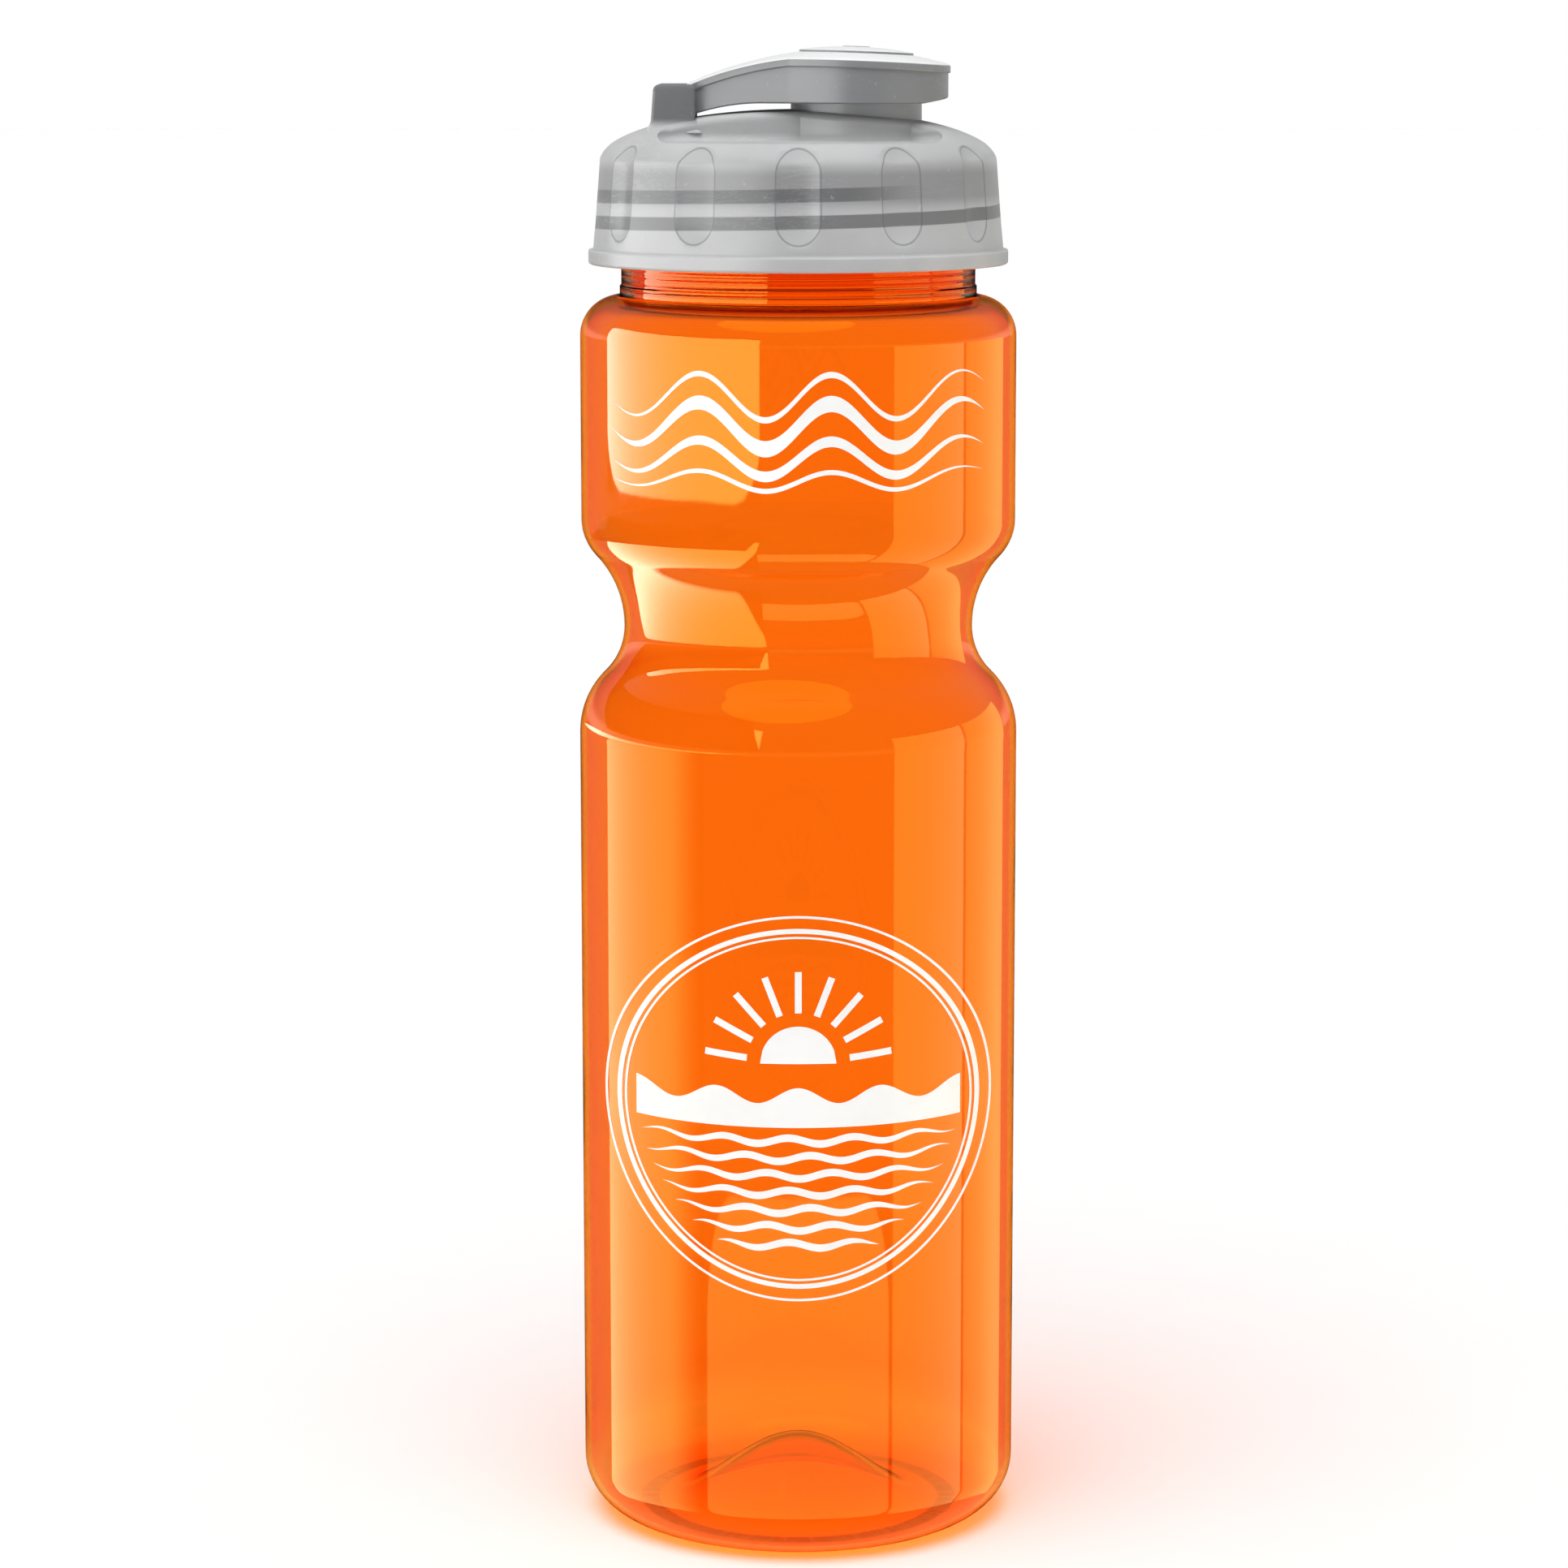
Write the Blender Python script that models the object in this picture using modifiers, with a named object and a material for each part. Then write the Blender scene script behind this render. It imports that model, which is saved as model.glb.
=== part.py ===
"""Wide-mouth squeeze bottle with a screw-on domed cap and a flip-up lever over its spout.

The bottle stands on the XY plane with its axis on Z. The lever's hinge is on the -X side of the
cap and the spout on the +X side, so the closed lever lies along +X. Sizes are in metres.
"""

import math

import bmesh
import bpy
from mathutils import Matrix, Vector

MM = 0.001

# Clearances
TOUCH_GAP = 0.3 * MM  # between pieces that rest on each other
THREAD_GAP = 0.45 * MM  # a thread's crest to the wall it runs past
BORE_GAP = 0.1 * MM  # the hinge pin in its bores
PLUG_GAP = 0.4 * MM  # the soft plug in the spout

# Bottle body, from the standing ring up
BODY_R = 36.6 * MM
BODY_WALL = 0.9 * MM
BASE_CORNER_R = 9.3 * MM
STAND_RING_WIDTH = 3.3 * MM
PUSH_UP_HEIGHT = 11.0 * MM
LOWER_TOP_Z = 134.3 * MM
WAIST_DEPTH = 7.52 * MM
WAIST_LOWER_LENGTH = 17.8 * MM
WAIST_UPPER_LENGTH = 17.9 * MM
WAIST_LOWER_SHARE = 0.455  # the waist side's share of the lower S-curve's two radii
WAIST_UPPER_SHARE = 0.67  # and of the upper S-curve's
PANEL_INSET = 0.45 * MM  # the upper panel is this much slimmer than the lower body
PANEL_LENGTH = 30.4 * MM
SHOULDER_LENGTH = 6.6 * MM

# Bottle neck
NECK_R = 29.3 * MM
NECK_WALL = 1.8 * MM
NECK_HEIGHT = 20.6 * MM
NECK_STEP = 0.25 * MM  # the thicker ring at the foot of the neck
NECK_STEP_HEIGHT = 1.6 * MM
LIP_EDGE = 0.4 * MM

# Screw thread, right-handed, one start
THREAD_PITCH = 4.23 * MM
THREAD_DEPTH = 1.6 * MM
THREAD_ROOT_HALF = 1.05 * MM
THREAD_CREST_HALF = 0.68 * MM
THREAD_EMBED = 0.5 * MM
THREAD_RUN_OUT = math.radians(28)
THREAD_END_SHARE = 0.06  # how much of its depth a thread has at its very ends
CAP_THREAD_BELOW_LIP = 6.4 * MM  # the cap's thread where it crosses +X, measured down from the lip
CAP_THREAD_FROM = math.radians(-240)
CAP_THREAD_TO = math.radians(311)
NECK_THREAD_FROM = math.radians(-330)
NECK_THREAD_TO = math.radians(170)

# Cap
SKIRT_DROP = 15.4 * MM  # the cap's rim, measured down from the bottle's lip
SKIRT_WALL = 1.45 * MM
SKIRT_DRAFT = 1.05 * MM
FLANGE_STEP = 0.85 * MM
FLANGE_HEIGHT = 2.4 * MM
FLANGE_EDGE = 0.5 * MM
GASKET_THICKNESS = 1.3 * MM
DOME_ABOVE_LIP = 1.4 * MM
DOME_HEIGHT = 8.5 * MM
DOME_WALL = 1.7 * MM
SEAL_RING_WALL = 1.0 * MM
SEAL_RING_DROP = 2.6 * MM
GRIP_COUNT = 12
GRIP_CUTTER_R = 10.0 * MM
GRIP_DEPTH = 0.85 * MM
GRIP_HALF_RUN = 4.0 * MM
GRIP_MID_BELOW_LIP = 3.0 * MM

# Ridge across the cap between two scoops
RIDGE_MARGIN = 0.5 * MM  # the ridge stands out this far beside the hinge ears
SCOOP_DEPTH = 5.0 * MM  # below the dome's crown
SCOOP_LEFT_X = -22.8 * MM
SCOOP_RIGHT_X = 23.4 * MM
SCOOP_END_R = 7.0 * MM
SCOOP_FILLET = 1.0 * MM

# Spout
SPOUT_X = 9.55 * MM
SPOUT_R = 10.8 * MM
SPOUT_WALL = 1.8 * MM
SPOUT_RISE = 5.1 * MM  # above the dome's crown
SPOUT_FOOT_FLARE = 1.0 * MM

# Hinge
PIVOT_X = -20.2 * MM
PIVOT_RISE = 1.5 * MM  # above the dome's crown
EAR_GAP_HALF = 6.3 * MM  # from the middle plane to an ear's inner face
EAR_WALL = 2.2 * MM
EAR_HALF_LENGTH = 3.4 * MM
EAR_RISE = 2.6 * MM  # above the pivot
EAR_SLANT = 0.6 * MM
EAR_EMBED = 0.5 * MM  # how far the ear sinks in where the dome under it is lowest
EAR_EDGE = 0.5 * MM
PIN_R = 1.1 * MM
PIN_BLIND_WALL = 0.8 * MM
KNUCKLE_WALL = 1.2 * MM

# Flip lever
LEVER_OVERHANG = 4.7 * MM  # how far the round head reaches past the spout
LEVER_WALL = 1.4 * MM
LEVER_PLATE = 1.6 * MM
LEVER_NECK_HALF = 10.66 * MM  # half width where the arm meets the round head
LEVER_TAIL_X = 0.6 * MM  # the arm's end, from the pivot towards the spout
LEVER_STRAIGHT = 3.7 * MM  # the arm stays narrow this far from the pivot
LEVER_PLUG_GAP = 0.39 * MM  # the plate above the plug's flange, at the nose
LEVER_CROWN_X = 7.5 * MM
LEVER_BACK_R = 59.0 * MM
LEVER_CROSS_R = 72.0 * MM
LEVER_SKIRT_RISE = 1.3 * MM  # the skirt's lower edge above the dome's crown
LEVER_TAIL_DROP = 1.8 * MM
LEVER_DROP_FROM_X = -6.0 * MM
LEVER_DROP_LENGTH = 11.0 * MM
LEVER_NOSE_LIFT = 0.8 * MM
LIP_BEAD = 0.35 * MM
LIP_BEAD_HEIGHT = 1.1 * MM
PAD_R = 9.4 * MM
PAD_STEP = 0.4 * MM

# Spout plug
PLUG_DEPTH = 3.0 * MM
PLUG_TAPER = 0.5 * MM
PLUG_FLANGE_INSET = 0.4 * MM  # the flange ends this far inside the spout's outer edge
PLUG_FLANGE = 1.1 * MM
STUD_R = 2.2 * MM
STUD_DEPTH = 1.3 * MM  # below the plug's flange

# Facets
TURN_STEPS = 36
THREAD_STEPS = 30
ARC_STEPS = 4
PUSH_UP_STEPS = 6
SCOOP_STEPS = 24
HEAD_STEPS = 22
ARM_STEPS = 5
SMALL_STEPS = 24
MERGE = 0.01 * MM
OVERSHOOT = 1.0 * MM  # how far a cutter runs past the face it opens

# Heights and radii that follow
WAIST_Z = LOWER_TOP_Z + WAIST_LOWER_LENGTH
PANEL_R = BODY_R - PANEL_INSET
PANEL_BOTTOM_Z = WAIST_Z + WAIST_UPPER_LENGTH
PANEL_TOP_Z = PANEL_BOTTOM_Z + PANEL_LENGTH
SHOULDER_Z = PANEL_TOP_Z + SHOULDER_LENGTH
LIP_Z = SHOULDER_Z + NECK_HEIGHT
NECK_BORE_R = NECK_R - NECK_WALL
SKIRT_IN_R = NECK_R + THREAD_DEPTH + THREAD_GAP
DOME_R = SKIRT_IN_R + SKIRT_WALL
SKIRT_R = DOME_R + SKIRT_DRAFT
FLANGE_R = SKIRT_R + FLANGE_STEP
RIM_Z = LIP_Z - SKIRT_DROP
DOME_Z = LIP_Z + DOME_ABOVE_LIP
CROWN_Z = DOME_Z + DOME_HEIGHT
CEILING_Z = LIP_Z + GASKET_THICKNESS + 2 * TOUCH_GAP
SEAL_RING_R = NECK_BORE_R - TOUCH_GAP
SCOOP_Z = CROWN_Z - SCOOP_DEPTH
SPOUT_TOP_Z = CROWN_Z + SPOUT_RISE
SPOUT_BORE_R = SPOUT_R - SPOUT_WALL
PIVOT_Z = CROWN_Z + PIVOT_RISE
EAR_OUT_Y = EAR_GAP_HALF + EAR_WALL
RIDGE_HALF = EAR_OUT_Y + RIDGE_MARGIN
KNUCKLE_HALF = EAR_GAP_HALF - TOUCH_GAP
KNUCKLE_R = PIN_R + KNUCKLE_WALL
LEVER_R = SPOUT_R + LEVER_OVERHANG
LEVER_SKIRT_Z = CROWN_Z + LEVER_SKIRT_RISE
PLUG_SEAT_Z = SPOUT_TOP_Z + TOUCH_GAP
PLUG_R = SPOUT_BORE_R - PLUG_GAP
PLUG_FLANGE_R = SPOUT_R - PLUG_FLANGE_INSET
NOSE_FALL = (SPOUT_X + PLUG_FLANGE_R - LEVER_CROWN_X) ** 2 / (2 * LEVER_BACK_R)
LEVER_CROWN_Z = PLUG_SEAT_Z + PLUG_FLANGE + LEVER_PLUG_GAP + LEVER_PLATE + NOSE_FALL

COLOURS = {
    "clear_orange": ((1.0, 0.33, 0.03, 1.0), 0.08),
    "frosted_grey": ((0.62, 0.63, 0.64, 1.0), 0.35),
    "soft_seal": ((0.75, 0.76, 0.76, 1.0), 0.6),
    "pin_plastic": ((0.5, 0.5, 0.51, 1.0), 0.4),
}


# ---------------------------------------------------------------- scene and objects


def clear_scene():
    """Remove the objects the scene starts with."""
    for thing in list(bpy.data.objects):
        bpy.data.objects.remove(thing, do_unlink=True)


def make_collection(name):
    """Add a collection to the scene."""
    collection = bpy.data.collections.new(name)
    bpy.context.scene.collection.children.link(collection)
    return collection


def make_material(name):
    """A plain shaded material from the colour table."""
    colour, roughness = COLOURS[name]
    material = bpy.data.materials.new(name)
    material.use_nodes = True
    shader = material.node_tree.nodes["Principled BSDF"]
    shader.inputs["Base Color"].default_value = colour
    shader.inputs["Roughness"].default_value = roughness
    shader.inputs["Metallic"].default_value = 0.0
    return material


def add_object(name, mesh, collection, material=None):
    """Put a mesh in a collection, with its material."""
    thing = bpy.data.objects.new(name, mesh)
    collection.objects.link(thing)
    if material:
        mesh.materials.append(material)
    return thing


def mesh_of(name, shape):
    """Turn a bmesh into a mesh and free it."""
    mesh = bpy.data.meshes.new(name)
    shape.to_mesh(mesh)
    shape.free()
    return mesh


def add_helper(name, mesh, collection):
    """A shape that only cuts or is joined to a part."""
    thing = add_object(name, mesh, collection)
    thing.hide_render = True
    thing.display_type = "WIRE"
    return thing


def combine(part, helper, operation):
    """Cut a part with a helper, or join the helper to it."""
    modifier = part.modifiers.new(f"{operation.lower()} {helper.name}", "BOOLEAN")
    modifier.operation = operation
    modifier.solver = "EXACT"
    modifier.object = helper


def turn(thing, steps=TURN_STEPS):
    """Revolve an object's profile about Z."""
    screw = thing.modifiers.new("turn", "SCREW")
    screw.axis = "Z"
    screw.angle = math.tau
    screw.steps = steps
    screw.render_steps = steps
    screw.use_merge_vertices = True
    screw.merge_threshold = MERGE


def outline_mesh(name, profile, closed, at_x=0.0):
    """A wire of (radius, height) points, in the plane of X and Z."""
    shape = bmesh.new()
    points = [shape.verts.new((at_x + r, 0.0, z)) for r, z in profile]
    for first, second in zip(points, points[1:]):
        shape.edges.new((first, second))
    if closed:
        shape.edges.new((points[-1], points[0]))
    return mesh_of(name, shape)


def loft(name, loops, pinched=False):
    """Skin loops of equal length; the ends are faces, or are pinched to a line or a point."""
    shape = bmesh.new()
    rows = [[shape.verts.new(point) for point in loop] for loop in loops]
    for low, high in zip(rows, rows[1:]):
        for i in range(len(low)):
            j = (i + 1) % len(low)
            shape.faces.new((low[i], low[j], high[j], high[i]))
    if pinched:
        bmesh.ops.remove_doubles(shape, verts=shape.verts, dist=MERGE)
    else:
        shape.faces.new(list(reversed(rows[0])))
        shape.faces.new(rows[-1])
    bmesh.ops.recalc_face_normals(shape, faces=shape.faces)
    return mesh_of(name, shape)


def cylinder_mesh(name, radius, start, end, steps=SMALL_STEPS):
    """A cylinder from one point to another."""
    run = Vector(end) - Vector(start)
    middle = (Vector(end) + Vector(start)) / 2
    place = Matrix.Translation(middle) @ run.to_track_quat("Z", "Y").to_matrix().to_4x4()
    shape = bmesh.new()
    bmesh.ops.create_cone(
        shape, cap_ends=True, segments=steps, radius1=radius, radius2=radius, depth=run.length,
        matrix=place,
    )
    return mesh_of(name, shape)


# ---------------------------------------------------------------- curves


def arc(centre, radius, start, end, steps=ARC_STEPS):
    """Points on an arc in (radius, height), between two angles in degrees from +radius."""
    points = []
    for i in range(steps + 1):
        angle = math.radians(start + (end - start) * i / steps)
        points.append((centre[0] + radius * math.cos(angle), centre[1] + radius * math.sin(angle)))
    return points


def circle(centre_x, radius, steps=TURN_STEPS):
    """A round outline (x, y), anticlockwise from +X."""
    angles = [math.tau * i / steps for i in range(steps)]
    return [(centre_x + radius * math.cos(a), radius * math.sin(a)) for a in angles]


def offset(points, distance, closed):
    """Move an outline sideways, to its right as it runs, keeping its corners mitred."""
    count = len(points)
    moved = []
    for i, (x, y) in enumerate(points):
        before = points[i - 1] if closed or i else points[0]
        after = points[(i + 1) % count] if closed or i < count - 1 else points[-1]
        normals = []
        for a, b in ((before, (x, y)), ((x, y), after)):
            length = math.hypot(b[0] - a[0], b[1] - a[1])
            if length > 0:
                normals.append(((b[1] - a[1]) / length, (a[0] - b[0]) / length))
        nx = sum(n[0] for n in normals) / len(normals)
        ny = sum(n[1] for n in normals) / len(normals)
        square = nx * nx + ny * ny
        moved.append((x + distance * nx / square, y + distance * ny / square))
    return moved


def s_curve(low, high, waist_share):
    """Two tangent arcs between a wide radius and a narrow one, ends included, from the wide end.

    low and high are (radius, height) of the wide and the narrow end, in either height order.
    """
    depth = low[0] - high[0]
    length = abs(high[1] - low[1])
    way = 1 if high[1] > low[1] else -1
    radii = (depth * depth + length * length) / (2 * depth)
    waist = radii * waist_share
    crest = radii - waist
    angle = math.degrees(math.asin(length / radii))
    wide = arc((low[0] - crest, low[1]), crest, 0, way * angle)
    narrow = arc((high[0] + waist, high[1]), waist, 180 + way * angle, 180)
    return wide[:-1] + narrow


# ---------------------------------------------------------------- bottle body


def body_outline():
    """The bottle's outside from the foot of the neck down to the middle of the base."""
    shoulder_r = PANEL_R - NECK_R - NECK_STEP
    shoulder = []
    for r, z in arc((0, 0), 1.0, 90, 0):
        shoulder.append((PANEL_R - shoulder_r * (1 - r), PANEL_TOP_Z + SHOULDER_LENGTH * z))
    waist_r = BODY_R - WAIST_DEPTH
    upper = s_curve((PANEL_R, PANEL_BOTTOM_Z), (waist_r, WAIST_Z), WAIST_UPPER_SHARE)
    lower = s_curve((BODY_R, LOWER_TOP_Z), (waist_r, WAIST_Z), WAIST_LOWER_SHARE)
    corner = arc((BODY_R - BASE_CORNER_R, BASE_CORNER_R), BASE_CORNER_R, 0, -90)
    ring_r = BODY_R - BASE_CORNER_R - STAND_RING_WIDTH
    push_up = []
    for i in range(PUSH_UP_STEPS + 1):
        share = 1 - i / PUSH_UP_STEPS
        push_up.append((ring_r * share, PUSH_UP_HEIGHT * (1 + math.cos(math.pi * share)) / 2))
    return shoulder + upper + lower[-2::-1] + corner + push_up


def body_profile():
    """The bottle's whole wall, from the middle of its floor up inside and down outside."""
    outside = body_outline()
    inside = offset(outside, BODY_WALL, closed=False)
    inside[-1] = (0.0, outside[-1][1] + BODY_WALL)
    inside = [point for point in inside if point[0] >= 0]
    inside.reverse()
    bore_foot = inside[-1][1]
    step_r = NECK_R + NECK_STEP
    neck = [
        (NECK_BORE_R, bore_foot + BODY_WALL),
        (NECK_BORE_R, LIP_Z - LIP_EDGE),
        (NECK_BORE_R + LIP_EDGE, LIP_Z),
        (NECK_R - LIP_EDGE, LIP_Z),
        (NECK_R, LIP_Z - LIP_EDGE),
        (NECK_R, SHOULDER_Z + NECK_STEP_HEIGHT + NECK_STEP),
        (step_r, SHOULDER_Z + NECK_STEP_HEIGHT),
    ]
    return inside + neck + outside


def thread_loops(wall_r, crest_r, height_at, start, end):
    """Sections of a helical ridge that grows from its wall and runs out at both ends."""
    turns = (end - start) / math.tau
    count = round(turns * THREAD_STEPS)
    outward = 1 if crest_r > wall_r else -1
    foot_r = wall_r - outward * THREAD_EMBED
    loops = []
    for i in range(count + 1):
        angle = start + (end - start) * i / count
        near_end = min(angle - start, end - angle) / THREAD_RUN_OUT
        swell = math.sin(min(near_end, 1.0) * math.pi / 2)
        rise = THREAD_END_SHARE + (1 - THREAD_END_SHARE) * swell
        top_r = wall_r + (crest_r - wall_r) * rise
        crest_half = THREAD_ROOT_HALF + (THREAD_CREST_HALF - THREAD_ROOT_HALF) * rise
        middle = height_at(angle)
        section = []
        for r, z in (
            (foot_r, -THREAD_ROOT_HALF),
            (wall_r, -THREAD_ROOT_HALF),
            (top_r, -crest_half),
            (top_r, crest_half),
            (wall_r, THREAD_ROOT_HALF),
            (foot_r, THREAD_ROOT_HALF),
        ):
            section.append((r * math.cos(angle), r * math.sin(angle), middle + z))
        loops.append(section)
    return loops


def cap_thread_height(angle):
    """The height of the cap's thread at an angle about Z."""
    return LIP_Z - CAP_THREAD_BELOW_LIP + THREAD_PITCH * angle / math.tau


def neck_thread_height(angle):
    """The bottle's thread runs midway between the turns of the cap's."""
    return cap_thread_height(angle) + THREAD_PITCH / 2


def build_body(parts, helpers):
    """The blown bottle, with its neck thread."""
    mesh = outline_mesh("bottle_body", body_profile(), closed=False)
    body = add_object("bottle_body", mesh, parts, make_material("clear_orange"))
    turn(body)
    loops = thread_loops(
        NECK_R, NECK_R + THREAD_DEPTH, neck_thread_height, NECK_THREAD_FROM, NECK_THREAD_TO
    )
    combine(body, add_helper("neck_thread", loft("neck_thread", loops), helpers), "UNION")


# ---------------------------------------------------------------- cap


def dome_height(radius, grow=0.0):
    """The dome's outside, a flattened half ellipse; grow moves it out or in by a wall."""
    share = min(abs(radius) / (DOME_R + grow), 1.0)
    return DOME_Z + (DOME_HEIGHT + grow) * math.sqrt(1 - share * share)


def dome_points(grow, from_r, steps=9):
    """(radius, height) points from the dome's middle out to a radius, closer near the edge."""
    outer = DOME_R + grow
    full = math.asin(min(from_r / outer, 1.0))
    radii = [outer * math.sin(full * i / steps) for i in range(steps + 1)]
    return [(r, dome_height(r, grow)) for r in radii]


def cap_outline():
    """The cap's outside as a solid block, from the crown down the skirt to the rim's middle."""
    flange_top = RIM_Z + FLANGE_HEIGHT
    return dome_points(0.0, DOME_R) + [
        (SKIRT_R, flange_top + FLANGE_EDGE),
        (SKIRT_R + FLANGE_STEP / 2, flange_top),
        (FLANGE_R, flange_top - FLANGE_EDGE / 2),
        (FLANGE_R, RIM_Z + FLANGE_EDGE),
        (FLANGE_R - FLANGE_EDGE, RIM_Z),
        (0.0, RIM_Z),
    ]


def cavity_outline():
    """The space inside the cap: skirt bore, gasket ledge, seal ring and the hollow dome."""
    ring_in = SEAL_RING_R - SEAL_RING_WALL
    ring_bottom = LIP_Z - SEAL_RING_DROP
    inner_dome = [point for point in dome_points(-DOME_WALL, ring_in) if point[0] < ring_in]
    return inner_dome + [
        (ring_in, dome_height(ring_in, -DOME_WALL)),
        (ring_in, ring_bottom + LIP_EDGE),
        (ring_in + SEAL_RING_WALL / 2, ring_bottom),
        (SEAL_RING_R, ring_bottom + LIP_EDGE),
        (SEAL_RING_R, CEILING_Z),
        (SKIRT_IN_R, CEILING_Z),
        (SKIRT_IN_R, RIM_Z - OVERSHOOT),
        (0.0, RIM_Z - OVERSHOOT),
    ]


def scoop_edge(x, grow):
    """Where one scoop meets the ridge, as y on the -Y side; grow makes the scoop larger."""
    left = SCOOP_LEFT_X - grow
    right = SCOOP_RIGHT_X + grow
    ridge = -RIDGE_HALF + grow
    y = ridge
    spout_clear = SPOUT_R + SPOUT_FOOT_FLARE + SCOOP_FILLET - grow
    from_spout = abs(x - SPOUT_X)
    if from_spout < spout_clear:
        y = min(y, -math.sqrt(spout_clear**2 - from_spout**2))
    from_end = max(min(x - left, right - x), 0.0)
    if from_end < SCOOP_END_R:
        drop = SCOOP_END_R - math.sqrt(SCOOP_END_R**2 - (SCOOP_END_R - from_end) ** 2)
        y = min(y, ridge - drop)
    return y


def scoop_plan(grow):
    """One scoop seen from above, on the -Y side, anticlockwise from its outer left corner."""
    left = SCOOP_LEFT_X - grow
    right = SCOOP_RIGHT_X + grow
    outside = -(DOME_R + 2 * OVERSHOOT)
    plan = [(left, outside), (right, outside)]
    for i in range(SCOOP_STEPS + 1):
        share = (1 + math.cos(math.pi * i / SCOOP_STEPS)) / 2
        x = left + (right - left) * share
        plan.append((x, scoop_edge(x, grow)))
    return plan


def scoop_mesh(name, wall):
    """Both scoops as one cutter; wall shrinks it all round for the hollow underneath."""
    levels = (
        (0.0, -SCOOP_FILLET),
        (0.3 * SCOOP_FILLET, -0.3 * SCOOP_FILLET),
        (SCOOP_FILLET, 0.0),
        (SCOOP_DEPTH + 2 * OVERSHOOT, 0.6 * SCOOP_FILLET),
    )
    shape = bmesh.new()
    for side in (1, -1):
        loops = []
        for rise, grow in levels:
            plan = scoop_plan(grow + wall)
            loops.append([(x, side * y, SCOOP_Z - wall + rise) for x, y in plan])
        half = loft(f"{name}_half", loops)
        shape.from_mesh(half)
        bpy.data.meshes.remove(half)
    return mesh_of(name, shape)


def grip_mesh():
    """Capsules set round the skirt, leaning with its draft, that scoop out the finger grips."""
    lean = math.atan2(SKIRT_DRAFT, DOME_Z - RIM_Z - FLANGE_HEIGHT)
    middle_z = LIP_Z - GRIP_MID_BELOW_LIP
    share = (DOME_Z - middle_z) / (DOME_Z - RIM_Z - FLANGE_HEIGHT)
    skirt_r = DOME_R + SKIRT_DRAFT * share
    shape = bmesh.new()
    for i in range(GRIP_COUNT):
        made = bmesh.ops.create_uvsphere(
            shape, u_segments=TURN_STEPS, v_segments=11, radius=GRIP_CUTTER_R
        )
        for vert in made["verts"]:
            vert.co.z += math.copysign(GRIP_HALF_RUN, vert.co.z)
        spot = Matrix.Rotation(math.tau * i / GRIP_COUNT, 4, "Z")
        out = Matrix.Translation((skirt_r + GRIP_CUTTER_R - GRIP_DEPTH, 0.0, middle_z))
        tilt = Matrix.Rotation(-lean, 4, "Y")
        bmesh.ops.transform(shape, matrix=spot @ out @ tilt, verts=made["verts"])
    return mesh_of("finger_grips", shape)


def spout_profile():
    """The spout's wall as a block, foot to lip, to be bored afterwards."""
    foot_z = SCOOP_Z
    return [
        (0.0, SPOUT_TOP_Z),
        (SPOUT_R - SPOUT_WALL / 2, SPOUT_TOP_Z),
        (SPOUT_R - 0.3 * SPOUT_WALL, SPOUT_TOP_Z - 0.06 * SPOUT_WALL),
        (SPOUT_R, SPOUT_TOP_Z - SPOUT_WALL / 3),
        (SPOUT_R, foot_z + 2 * SPOUT_FOOT_FLARE),
        (SPOUT_R + 0.3 * SPOUT_FOOT_FLARE, foot_z + SPOUT_FOOT_FLARE),
        (SPOUT_R + SPOUT_FOOT_FLARE, foot_z + 0.2 * SPOUT_FOOT_FLARE),
        (SPOUT_R + SPOUT_FOOT_FLARE, foot_z - DOME_WALL / 2),
        (0.0, foot_z - DOME_WALL / 2),
    ]


def ear_mesh(side):
    """One hinge ear: a leaning plate with a softened outline, on the +Y or -Y side."""
    top = PIVOT_Z + EAR_RISE
    left = PIVOT_X - EAR_HALF_LENGTH
    foot = dome_height(math.hypot(left - EAR_SLANT, EAR_OUT_Y)) - EAR_EMBED
    right = PIVOT_X + EAR_HALF_LENGTH
    edge = 2 * EAR_EDGE
    outline = [
        (left - EAR_SLANT, foot),
        (right, foot),
        (right, top - edge),
        (right - edge / 3, top - edge / 3),
        (right - edge, top),
        (left + edge, top - 0.4 * EAR_EDGE),
        (left + edge / 3, top - edge / 3 - 0.4 * EAR_EDGE),
        (left, top - edge),
    ]
    shrunk = offset(outline, -EAR_EDGE, closed=True)
    loops = []
    for y, points in (
        (EAR_GAP_HALF, outline),
        (EAR_OUT_Y - EAR_EDGE, outline),
        (EAR_OUT_Y, shrunk),
    ):
        loops.append([(x, side * y, z) for x, z in points])
    return loft("hinge_ear", loops)


def moved_turning(name, profile, helpers, at_x):
    """A turned helper whose axis stands at a distance along X."""
    helper = add_helper(name, outline_mesh(name, profile, closed=False), helpers)
    helper.location.x = at_x
    turn(helper)
    return helper


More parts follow.
